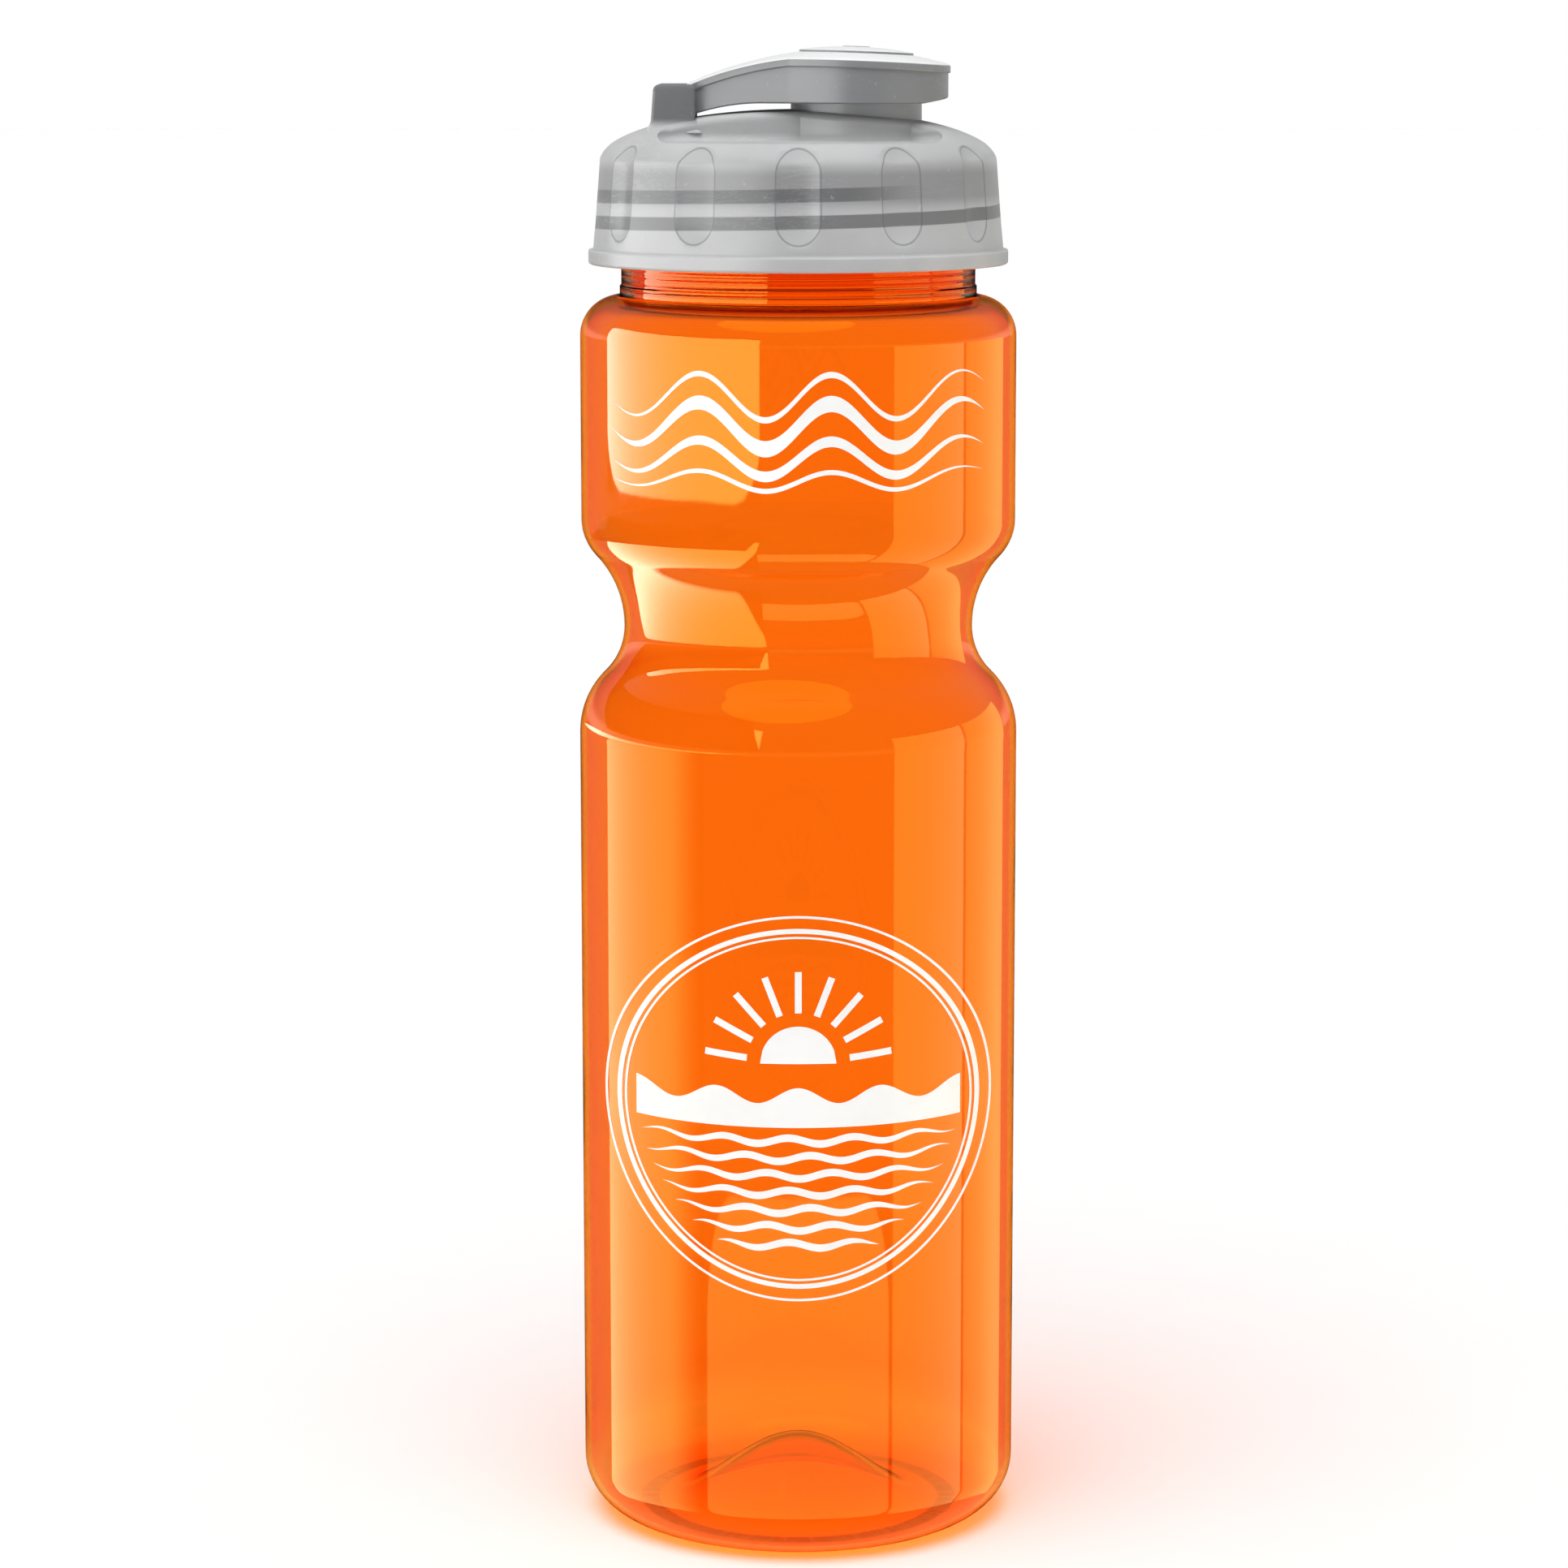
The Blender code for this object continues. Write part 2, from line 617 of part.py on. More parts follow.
def build_cap(parts, helpers):
    """The moulded cap: skirt, flange, scooped dome, spout, hinge ears and inner thread."""
    mesh = outline_mesh("screw_cap", cap_outline(), closed=False)
    cap = add_object("screw_cap", mesh, parts, make_material("frosted_grey"))
    turn(cap)
    combine(cap, add_helper("scoops", scoop_mesh("scoops", 0.0), helpers), "DIFFERENCE")
    combine(cap, moved_turning("spout_wall", spout_profile(), helpers, SPOUT_X), "UNION")
    for side in (1, -1):
        combine(cap, add_helper(f"ear_{side:+d}", ear_mesh(side), helpers), "UNION")
    combine(cap, add_helper("finger_grips", grip_mesh(), helpers), "DIFFERENCE")

    cavity = add_helper("cavity", outline_mesh("cavity", cavity_outline(), closed=False), helpers)
    turn(cavity)
    inner_scoops = add_helper("inner_scoops", scoop_mesh("inner_scoops", DOME_WALL), helpers)
    combine(cavity, inner_scoops, "DIFFERENCE")
    combine(cap, cavity, "DIFFERENCE")

    bore = cylinder_mesh(
        "spout_bore", SPOUT_BORE_R, (SPOUT_X, 0, CEILING_Z), (SPOUT_X, 0, SPOUT_TOP_Z + OVERSHOOT),
        TURN_STEPS,
    )
    combine(cap, add_helper("spout_bore", bore, helpers), "DIFFERENCE")
    pin_hole = cylinder_mesh(
        "pin_hole", PIN_R + BORE_GAP,
        (PIVOT_X, -EAR_OUT_Y + PIN_BLIND_WALL, PIVOT_Z), (PIVOT_X, EAR_OUT_Y + OVERSHOOT, PIVOT_Z),
    )
    combine(cap, add_helper("pin_hole", pin_hole, helpers), "DIFFERENCE")
    loops = thread_loops(
        SKIRT_IN_R, SKIRT_IN_R - THREAD_DEPTH, cap_thread_height, CAP_THREAD_FROM, CAP_THREAD_TO
    )
    combine(cap, add_helper("cap_thread", loft("cap_thread", loops), helpers), "UNION")


def build_gasket(parts):
    """The flat seal between the bottle's lip and the cap."""
    low = LIP_Z + TOUCH_GAP
    high = low + GASKET_THICKNESS
    inner = SEAL_RING_R + TOUCH_GAP / 2
    outer = SKIRT_IN_R - 2 * TOUCH_GAP
    edge = 0.25 * GASKET_THICKNESS
    profile = [
        (inner, low + edge),
        (inner, high - edge),
        (inner + edge, high),
        (outer - edge, high),
        (outer, high - edge),
        (outer, low + edge),
        (outer - edge, low),
        (inner + edge, low),
    ]
    mesh = outline_mesh("cap_gasket", profile, closed=True)
    turn(add_object("cap_gasket", mesh, parts, make_material("soft_seal")))


# ---------------------------------------------------------------- lever


def lever_top(x, y):
    """The height of the lever's back, curved along its length and across it."""
    along = x - LEVER_CROWN_X
    return LEVER_CROWN_Z - along * along / (2 * LEVER_BACK_R) - y * y / (2 * LEVER_CROSS_R)


def lever_bottom(x):
    """The lower edge of the skirt: level by the spout, lower at the tail, lifted at the nose."""
    tail = min(max(LEVER_DROP_FROM_X - x, 0.0) / LEVER_DROP_LENGTH, 1.0)
    spout_edge = SPOUT_X + SPOUT_R
    nose = max(x - spout_edge, 0.0) / (SPOUT_X + LEVER_R - spout_edge)
    return LEVER_SKIRT_Z - LEVER_TAIL_DROP * tail * tail + LEVER_NOSE_LIFT * nose


def lever_plan():
    """The lever from above, anticlockwise: a round head and an arm that narrows to the hinge."""
    tail_x = PIVOT_X + LEVER_TAIL_X
    straight_x = PIVOT_X + LEVER_STRAIGHT
    corner = 0.8 * (LIP_BEAD + LEVER_WALL)
    join_angle = 180 - math.degrees(math.asin(LEVER_NECK_HALF / LEVER_R))
    head = arc((SPOUT_X, 0.0), LEVER_R, -join_angle, join_angle, HEAD_STEPS)
    join_x = head[-1][0]
    arm = []
    for i in range(ARM_STEPS - 1, -1, -1):
        share = i / ARM_STEPS
        x = straight_x + (join_x - straight_x) * share
        arm.append((x, KNUCKLE_HALF + (LEVER_NECK_HALF - KNUCKLE_HALF) * share))
    arm.append((tail_x + corner, KNUCKLE_HALF))
    arm.append((tail_x, KNUCKLE_HALF - corner))
    return head + arm + [(x, -y) for x, y in reversed(arm)]


def towards_spine(point, share, start_x):
    """Move an outline point towards the lever's middle line."""
    x, y = point
    spine_x = min(max(x, start_x), SPOUT_X)
    return (x + (spine_x - x) * share, y * (1 - share))


def lever_shell():
    """The lever's tray: plate, skirt and the small bead round its top edge."""
    plan = lever_plan()
    skirt = offset(plan, -LIP_BEAD, closed=True)
    inner = offset(plan, -LIP_BEAD - LEVER_WALL, closed=True)
    spine_from = PIVOT_X + LEVER_STRAIGHT
    loops = []
    for share in (1.0, 0.5):
        ring = [towards_spine(p, share, spine_from) for p in inner]
        loops.append([(x, y, lever_top(x, y) - LEVER_PLATE) for x, y in ring])
    loops.append([(x, y, lever_top(x, y) - LEVER_PLATE) for x, y in inner])
    loops.append([(x, y, lever_bottom(x)) for x, y in inner])
    loops.append([(x, y, lever_bottom(x)) for x, y in skirt])
    loops.append([(x, y, lever_top(x, y) - LIP_BEAD_HEIGHT - LIP_BEAD) for x, y in skirt])
    loops.append([(x, y, lever_top(x, y) - LIP_BEAD_HEIGHT) for x, y in plan])
    loops.append([(x, y, lever_top(x, y) - LIP_BEAD) for x, y in plan])
    loops.append([(x, y, lever_top(x, y)) for x, y in skirt])
    for share in (0.5, 1.0):
        ring = [towards_spine(p, share, spine_from) for p in skirt]
        loops.append([(x, y, lever_top(x, y)) for x, y in ring])
    return loft("flip_lever", loops, pinched=True)


def pad_mesh():
    """The raised round pad on the lever, following the curve of its back."""
    edge = PAD_STEP / 2
    loops = []
    for radius, rise in (
        (PAD_R, -LEVER_PLATE / 2),
        (PAD_R, PAD_STEP - edge),
        (PAD_R - edge, PAD_STEP),
        (0.5 * PAD_R, PAD_STEP),
    ):
        plan = circle(SPOUT_X, radius, SMALL_STEPS)
        loops.append([(x, y, lever_top(x, y) + rise) for x, y in plan])
    return loft("thumb_pad", loops)


def build_lever(parts, helpers):
    """The flip lever, its knuckle on the hinge pin and the stud that holds the plug."""
    lever = add_object("flip_lever", lever_shell(), parts, make_material("frosted_grey"))
    combine(lever, add_helper("thumb_pad", pad_mesh(), helpers), "UNION")
    knuckle = cylinder_mesh(
        "knuckle", KNUCKLE_R, (PIVOT_X, -KNUCKLE_HALF, PIVOT_Z), (PIVOT_X, KNUCKLE_HALF, PIVOT_Z)
    )
    combine(lever, add_helper("knuckle", knuckle, helpers), "UNION")
    stud = cylinder_mesh(
        "plug_stud", STUD_R, (SPOUT_X, 0, PLUG_SEAT_Z - STUD_DEPTH),
        (SPOUT_X, 0, lever_top(SPOUT_X, 0) - LEVER_PLATE / 2),
    )
    combine(lever, add_helper("plug_stud", stud, helpers), "UNION")
    bore = cylinder_mesh(
        "knuckle_bore", PIN_R + BORE_GAP, (PIVOT_X, -EAR_OUT_Y, PIVOT_Z),
        (PIVOT_X, EAR_OUT_Y, PIVOT_Z),
    )
    combine(lever, add_helper("knuckle_bore", bore, helpers), "DIFFERENCE")


def build_plug(parts):
    """The soft plug: a flange that rests on the spout and a tapered body inside it."""
    top = PLUG_SEAT_Z + PLUG_FLANGE
    bottom = SPOUT_TOP_Z - PLUG_DEPTH
    hole_r = STUD_R + TOUCH_GAP
    hole_z = PLUG_SEAT_Z - STUD_DEPTH - TOUCH_GAP
    edge = 0.25 * PLUG_FLANGE
    profile = [
        (0.0, hole_z),
        (hole_r, hole_z),
        (hole_r, top),
        (PLUG_FLANGE_R - edge, top),
        (PLUG_FLANGE_R, top - edge),
        (PLUG_FLANGE_R, PLUG_SEAT_Z + edge),
        (PLUG_FLANGE_R - edge, PLUG_SEAT_Z),
        (PLUG_R, PLUG_SEAT_Z),
        (PLUG_R - PLUG_TAPER, bottom + PLUG_TAPER),
        (PLUG_R - 3 * PLUG_TAPER, bottom),
        (0.0, bottom),
    ]
    mesh = outline_mesh("spout_plug", profile, closed=False)
    plug = add_object("spout_plug", mesh, parts, make_material("soft_seal"))
    plug.location.x = SPOUT_X
    turn(plug)


def build_pin(parts):
    """The hinge pin, pressed in from the far ear and hidden in the near one."""
    near = -EAR_OUT_Y + PIN_BLIND_WALL + TOUCH_GAP
    far = EAR_OUT_Y - TOUCH_GAP / 3
    mesh = cylinder_mesh("hinge_pin", PIN_R, (0, near, 0), (0, far, 0))
    pin = add_object("hinge_pin", mesh, parts, make_material("pin_plastic"))
    pin.location = (PIVOT_X, 0.0, PIVOT_Z)


def shade(parts):
    """Give every part smooth shading."""
    for thing in parts.objects:
        thing.data.shade_smooth()


def main():
    """Build the whole bottle."""
    clear_scene()
    parts = make_collection("squeeze_bottle")
    helpers = make_collection("cutters_and_joins")
    build_body(parts, helpers)
    build_cap(parts, helpers)
    build_gasket(parts)
    build_lever(parts, helpers)
    build_plug(parts)
    build_pin(parts)
    shade(parts)


main()
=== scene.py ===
"""Looks of a clear squeeze bottle with a frosted flip-top cap, built round its CAD frame.

Lengths are in metres in the frame's own axes: +Z up, the printed front towards -Y, the spout
towards +X and the lever's hinge towards -X.
"""

import logging
import math
from dataclasses import dataclass
from enum import Enum
from typing import Any, Callable

import bmesh
import bpy
from mathutils import Matrix, Vector


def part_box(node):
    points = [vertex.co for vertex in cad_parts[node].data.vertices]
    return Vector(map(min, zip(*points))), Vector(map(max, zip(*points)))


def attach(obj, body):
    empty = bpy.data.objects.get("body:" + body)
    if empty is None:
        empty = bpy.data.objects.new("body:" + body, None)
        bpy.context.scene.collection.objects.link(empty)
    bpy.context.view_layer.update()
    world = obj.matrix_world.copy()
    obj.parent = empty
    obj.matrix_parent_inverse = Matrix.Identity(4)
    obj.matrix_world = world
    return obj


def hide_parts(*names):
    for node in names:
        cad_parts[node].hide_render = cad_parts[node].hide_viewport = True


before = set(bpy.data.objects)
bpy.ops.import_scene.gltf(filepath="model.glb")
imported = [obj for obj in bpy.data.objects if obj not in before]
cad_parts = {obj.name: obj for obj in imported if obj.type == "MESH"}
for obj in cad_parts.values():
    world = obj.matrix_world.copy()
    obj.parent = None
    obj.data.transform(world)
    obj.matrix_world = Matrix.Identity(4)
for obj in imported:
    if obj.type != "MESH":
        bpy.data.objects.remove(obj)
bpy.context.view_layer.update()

MM = 0.001
MERGE = 0.001 * MM
log = logging.getLogger("bottle_looks")

Point = tuple[float, float]
Loop = list[tuple[float, float, float]]


class Join(Enum):
    """How one solid is combined with another."""

    ADD = "UNION"
    CUT = "DIFFERENCE"


class Body(Enum):
    """The frame's moving bodies."""

    BOTTLE = "bottle"
    SEAL = "seal"
    CAP = "cap"
    LEVER = "lever"


# ---------------------------------------------------------------- outlines


def arc(centre: Point, radius: float, start: float, end: float, steps: int) -> list[Point]:
    """Points on an arc.

    Args:
        centre: The arc's centre.
        radius: Its radius.
        start: First angle in degrees from the first axis.
        end: Last angle in degrees.
        steps: How many straight pieces it has.

    Returns:
        The points, ends included.
    """
    points = []
    for i in range(steps + 1):
        angle = math.radians(start + (end - start) * i / steps)
        points.append((centre[0] + radius * math.cos(angle), centre[1] + radius * math.sin(angle)))
    return points


def offset(points: list[Point], distance: float, closed: bool) -> list[Point]:
    """Move an outline sideways, to its right as it runs, with mitred corners.

    Args:
        points: The outline.
        distance: How far it moves.
        closed: Whether the last point joins the first.

    Returns:
        The moved outline, with as many points.
    """
    count = len(points)
    moved = []
    for i, (x, y) in enumerate(points):
        before = points[i - 1] if closed or i else points[0]
        after = points[(i + 1) % count] if closed or i < count - 1 else points[-1]
        normals = []
        for a, b in ((before, (x, y)), ((x, y), after)):
            length = math.hypot(b[0] - a[0], b[1] - a[1])
            if length > 0:
                normals.append(((b[1] - a[1]) / length, (a[0] - b[0]) / length))
        nx = sum(n[0] for n in normals) / len(normals)
        ny = sum(n[1] for n in normals) / len(normals)
        square = nx * nx + ny * ny
        moved.append((x + distance * nx / square, y + distance * ny / square))
    return moved


def s_curve(wide: Point, narrow: Point, waist_share: float, steps: int) -> list[Point]:
    """Two tangent arcs between a wide and a narrow radius.

    Args:
        wide: (radius, height) of the wide end.
        narrow: (radius, height) of the narrow end.
        waist_share: The part of the two radii that the waist's arc has.
        steps: Straight pieces in each arc.

    Returns:
        The points from the wide end to the narrow one.
    """
    depth = wide[0] - narrow[0]
    length = abs(narrow[1] - wide[1])
    way = 1 if narrow[1] > wide[1] else -1
    radii = (depth * depth + length * length) / (2 * depth)
    waist = radii * waist_share
    crest = radii - waist
    angle = math.degrees(math.asin(length / radii))
    outer = arc((wide[0] - crest, wide[1]), crest, 0, way * angle, steps)
    inner = arc((narrow[0] + waist, narrow[1]), waist, 180 + way * angle, 180, steps)
    return outer[:-1] + inner


def rounded_box(low: Point, high: Point, radius: float, steps: int) -> list[Point]:
    """A rectangle with round corners, anticlockwise."""
    x0, y0 = low[0] + radius, low[1] + radius
    x1, y1 = high[0] - radius, high[1] - radius
    corners = ((x1, y0, -90), (x1, y1, 0), (x0, y1, 90), (x0, y0, 180))
    points = []
    for x, y, start in corners:
        points += arc((x, y), radius, start, start + 90, steps)
    return points


# ---------------------------------------------------------------- solids


def mesh_of(name: str, shape: bmesh.types.BMesh) -> bpy.types.Mesh:
    """Turn a bmesh into a mesh and free it."""
    mesh = bpy.data.meshes.new(name)
    shape.to_mesh(mesh)
    shape.free()
    return mesh


def skin(name: str, loops: list[Loop], pinched: bool = False) -> bpy.types.Mesh:
    """Skin loops of equal length into a closed solid.

    Args:
        name: The mesh's name.
        loops: The sections, in order.
        pinched: The first and last loops already close on themselves.

    Returns:
        The solid, its faces pointing out.
    """
    shape = bmesh.new()
    rows = [[shape.verts.new(point) for point in loop] for loop in loops]
    for low, high in zip(rows, rows[1:]):
        for i in range(len(low)):
            j = (i + 1) % len(low)
            shape.faces.new((low[i], low[j], high[j], high[i]))
    if pinched:
        bmesh.ops.remove_doubles(shape, verts=shape.verts, dist=MERGE)
    else:
        shape.faces.new(list(reversed(rows[0])))
        shape.faces.new(rows[-1])
    bmesh.ops.recalc_face_normals(shape, faces=shape.faces)
    return mesh_of(name, shape)


def lathe(
    name: str, profile: list[Point], segments: int, at_x: float = 0.0, ring: bool = False
) -> bpy.types.Mesh:
    """Revolve (radius, height) points about an upright axis.

    Args:
        name: The mesh's name.
        profile: The points; a radius of 0 becomes a pole.
        segments: Facets round the axis.
        at_x: Where the axis stands along X.
        ring: The last point joins the first.

    Returns:
        The solid, its faces pointing out.
    """
    shape = bmesh.new()
    turns = [math.tau * i / segments for i in range(segments)]
    rows = []
    for radius, height in profile:
        if radius < MERGE:
            rows.append([shape.verts.new((at_x, 0.0, height))])
            continue
        rows.append([
            shape.verts.new((at_x + radius * math.cos(a), radius * math.sin(a), height))
            for a in turns
        ])
    pairs = list(zip(rows, rows[1:]))
    if ring:
        pairs.append((rows[-1], rows[0]))
    for low, high in pairs:
        for i in range(segments):
            j = (i + 1) % segments
            corners = [low[i % len(low)], low[j % len(low)], high[j % len(high)], high[i % len(high)]]
            corners = list(dict.fromkeys(corners))
            if len(corners) > 2:
                shape.faces.new(corners)
    bmesh.ops.recalc_face_normals(shape, faces=shape.faces)
    return mesh_of(name, shape)


def rod(name: str, radius: float, start: Vector, end: Vector, steps: int) -> bpy.types.Mesh:
    """A cylinder between two points."""
    run = end - start
    place = Matrix.Translation((start + end) / 2) @ run.to_track_quat("Z", "Y").to_matrix().to_4x4()
    shape = bmesh.new()
    bmesh.ops.create_cone(
        shape, cap_ends=True, segments=steps, radius1=radius, radius2=radius, depth=run.length,
        matrix=place,
    )
    return mesh_of(name, shape)


def baked(holder: bpy.types.Object) -> bpy.types.Mesh:
    """Take an object's mesh with its modifiers applied, and remove the object."""
    bpy.context.view_layer.update()
    graph = bpy.context.evaluated_depsgraph_get()
    mesh = bpy.data.meshes.new_from_object(holder.evaluated_get(graph))
    bpy.data.objects.remove(holder, do_unlink=True)
    return mesh


def hold(name: str, mesh: bpy.types.Mesh) -> bpy.types.Object:
    """Put a mesh in the scene as an object at the origin."""
    holder = bpy.data.objects.new(name, mesh)
    bpy.context.scene.collection.objects.link(holder)
    return holder


def combine(base: bpy.types.Mesh, tool: bpy.types.Mesh, how: Join) -> bpy.types.Mesh:
    """Join a closed solid to another or cut it away.

    Args:
        base: The solid that is kept.
        tool: The solid that is added or taken away.
        how: Which of the two.

    Returns:
        A new mesh.
    """
    holder = hold("base_solid", base)
    helper = hold("tool_solid", tool)
    cut = holder.modifiers.new("combine", "BOOLEAN")
    cut.operation = how.value
    cut.solver = "MANIFOLD"
    cut.object = helper
    mesh = baked(holder)
    bpy.data.objects.remove(helper, do_unlink=True)
    return mesh


def finish_shading(mesh: bpy.types.Mesh, sharp_degrees: float = 34.0) -> bpy.types.Mesh:
    """Smooth the round faces, keep real edges sharp and let large flat faces stay flat.

    Args:
        mesh: The finished solid.
        sharp_degrees: Edges bent by more than this stay sharp.

    Returns:
        The mesh with its final normals.
    """
    shape = bmesh.new()
    shape.from_mesh(mesh)
    bmesh.ops.remove_doubles(shape, verts=shape.verts, dist=MERGE)
    bmesh.ops.dissolve_degenerate(shape, edges=shape.edges, dist=MERGE)
    shape.to_mesh(mesh)
    shape.free()
    mesh.shade_smooth()
    mesh.set_sharp_from_angle(angle=math.radians(sharp_degrees))
    holder = hold("shading", mesh)
    weigh = holder.modifiers.new("weigh", "WEIGHTED_NORMAL")
    weigh.keep_sharp = True
    weigh.weight = 60
    return baked(holder)


def place_piece(
    name: str,
    mesh: bpy.types.Mesh,
    body: Body,
    material: bpy.types.Material,
    replaces: tuple[str, ...] = (),
) -> bpy.types.Object:
    """Make a finished piece of a mesh and tie it to the frame.

    Args:
        name: The piece's name.
        mesh: Its mesh, already in place.
        body: The body it moves with.
        material: Its finish.
        replaces: The CAD nodes it stands for.

    Returns:
        The piece's object.
    """
    mesh.materials.clear()
    mesh.materials.append(material)
    mesh.name = name
    piece = hold(name, mesh)
    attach(piece, body.value)
    if replaces:
        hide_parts(*replaces)
    log.info("%s: %d faces on %s", name, len(mesh.polygons), body.value)
    return piece


# ---------------------------------------------------------------- node trees


class Tree:
    """Adds and links nodes in one node tree."""

    def __init__(self, tree: bpy.types.NodeTree) -> None:
        """Work on a tree."""
        self.tree = tree

    def add(self, kind: str, inputs: dict[Any, Any] | None = None, **settings: Any) -> bpy.types.Node:
        """Add a node.

        Args:
            kind: The node's type name.
            inputs: Values or sockets for its inputs, by name or number.
            **settings: The node's own properties.

        Returns:
            The node.
        """
        node = self.tree.nodes.new(kind)
        for key, value in settings.items():
            setattr(node, key, value)
        for key, value in (inputs or {}).items():
            self.feed(node.inputs[key], value)
        return node

    def feed(self, socket: bpy.types.NodeSocket, value: Any) -> None:
        """Link a socket to an input, or set the input's value."""
        if isinstance(value, bpy.types.NodeSocket):
            self.tree.links.new(value, socket)
        else:
            socket.default_value = value

    def math(self, operation: str, *values: Any, clamp: bool = False) -> bpy.types.NodeSocket:
        """Add a Math node and give its result."""
        inputs = dict(enumerate(values))
        node = self.add("ShaderNodeMath", inputs, operation=operation, use_clamp=clamp)
        return node.outputs[0]

    def spread(self, value: Any, low: float, high: float, to_low: float, to_high: float) -> Any:
        """Map a value smoothly from one range to another."""
        names = ("Value", "From Min", "From Max", "To Min", "To Max")
        inputs = dict(zip(names, (value, low, high, to_low, to_high)))
        node = self.add("ShaderNodeMapRange", inputs, interpolation_type="SMOOTHSTEP")
        return node.outputs["Result"]

    def split(self, vector: Any) -> bpy.types.Node:
        """Separate a vector."""
        return self.add("ShaderNodeSeparateXYZ", {0: vector})

    def merge(self, x: Any, y: Any, z: Any) -> bpy.types.NodeSocket:
        """Combine three values into a vector."""
        return self.add("ShaderNodeCombineXYZ", {0: x, 1: y, 2: z}).outputs[0]

    def tint(self, share: Any, first: Any, second: Any, blend: str = "MIX") -> bpy.types.NodeSocket:
        """Mix two colours by a share."""
        node = self.add("ShaderNodeMix", data_type="RGBA", blend_type=blend)
        for socket, value in ((0, share), (6, first), (7, second)):
            self.feed(node.inputs[socket], value)
        return node.outputs[2]

    def blend(self, share: Any, first: Any, second: Any) -> bpy.types.NodeSocket:
        """Mix two shaders by a share."""
        return self.add("ShaderNodeMixShader", {0: share, 1: first, 2: second}).outputs[0]


def new_group(name: str, kind: str, inputs: dict[str, Any], outputs: dict[str, str]) -> Any:
    """Make a node group with its sockets.

    Args:
        name: The group's name.
        kind: Its tree type.
        inputs: Default values by socket name; a string is a socket type.
        outputs: Socket types by name.

    Returns:
        The tree helper, the group's input node and its output node.
    """
    group = bpy.data.node_groups.new(name, kind)
    kinds = {int: "NodeSocketInt", float: "NodeSocketFloat"}
    for label, value in inputs.items():
        socket_type = value if isinstance(value, str) else kinds[type(value)]
        socket = group.interface.new_socket(name=label, in_out="INPUT", socket_type=socket_type)
        if not isinstance(value, str):
            socket.default_value = value
    for label, socket_type in outputs.items():
        group.interface.new_socket(name=label, in_out="OUTPUT", socket_type=socket_type)
    tree = Tree(group)
    return tree, tree.add("NodeGroupInput"), tree.add("NodeGroupOutput")


def grow(
    group: bpy.types.NodeTree, values: dict[str, Any], source: bpy.types.Mesh | None = None
) -> bpy.types.Mesh:
    """Run a geometry tree and keep its result as a plain mesh.

    Args:
        group: The geometry tree.
        values: Its inputs by name.
        source: The mesh it starts from, where it has one.

    Returns:
        The result.
    """
    holder = hold("grown", source or bpy.data.meshes.new("empty"))
    modifier = holder.modifiers.new("grow", "NODES")
    modifier.node_group = group
    for item in group.interface.items_tree:
        if item.in_out == "INPUT" and item.name in values:
            modifier[item.identifier] = values[item.name]
    return baked(holder)


def thread_tree() -> bpy.types.NodeTree:
    """A helical ridge on a wall that tapers out at both ends.

    Returns:
        The geometry tree.
    """
    inputs = {
        "Wall Radius": 1.0, "Pitch": 1.0, "Turns": 1.0, "Steps": 64, "First Angle": 0.0,
        "First Height": 0.0, "Depth": 1.0, "Embed": 0.1, "Root Width": 1.0, "Crest Width": 1.0,
        "Run Out": 0.05, "Side": 1.0, "Material": "NodeSocketMaterial",
    }
    tree, given, result = new_group(
        "helical_thread", "GeometryNodeTree", inputs, {"Geometry": "NodeSocketGeometry"}
    )
    get = given.outputs
    spiral = tree.add("GeometryNodeCurveSpiral", {
        "Resolution": get["Steps"], "Rotations": get["Turns"], "Start Radius": get["Wall Radius"],
        "End Radius": get["Wall Radius"], "Height": tree.math("MULTIPLY", get["Pitch"], get["Turns"]),
        "Reverse": False,
    })
    upright = tree.add("GeometryNodeSetCurveNormal", {"Curve": spiral.outputs[0]}, mode="Z_UP")
    along = tree.add("GeometryNodeSplineParameter").outputs["Factor"]
    near_end = tree.math("MINIMUM", along, tree.math("SUBTRACT", 1.0, along))
    swell = tree.math("DIVIDE", near_end, get["Run Out"], clamp=True)
    eased = tree.math("SINE", tree.math("MULTIPLY", swell, math.pi / 2))
    size = tree.math("MAXIMUM", eased, 0.05)
    tapered = tree.add("GeometryNodeSetCurveRadius", {"Curve": upright.outputs[0], "Radius": size})
    whole = tree.math("ADD", get["Depth"], get["Embed"])
    section = tree.add("GeometryNodeCurvePrimitiveQuadrilateral", {
        "Height": whole, "Bottom Width": get["Root Width"], "Top Width": get["Crest Width"],
        "Offset": 0.0,
    }, mode="TRAPEZOID")
    rise = tree.math("SUBTRACT", tree.math("MULTIPLY", whole, 0.5), get["Embed"])
    lift = tree.add("GeometryNodeTransform", {
        "Geometry": section.outputs[0], "Translation": tree.merge(0.0, rise, 0.0),
    })
    quarter = tree.math("MULTIPLY", get["Side"], math.pi / 2)
    turned = tree.add("GeometryNodeTransform", {
        "Geometry": lift.outputs[0], "Rotation": tree.merge(0.0, 0.0, quarter),
    })
    swept = tree.add("GeometryNodeCurveToMesh", {
        "Curve": tapered.outputs[0], "Profile Curve": turned.outputs[0], "Fill Caps": True,
    })
    placed = tree.add("GeometryNodeTransform", {
        "Geometry": swept.outputs[0], "Translation": tree.merge(0.0, 0.0, get["First Height"]),
        "Rotation": tree.merge(0.0, 0.0, get["First Angle"]),
    })
    dress_result(tree, placed.outputs[0], get["Material"], result)
    return tree.tree


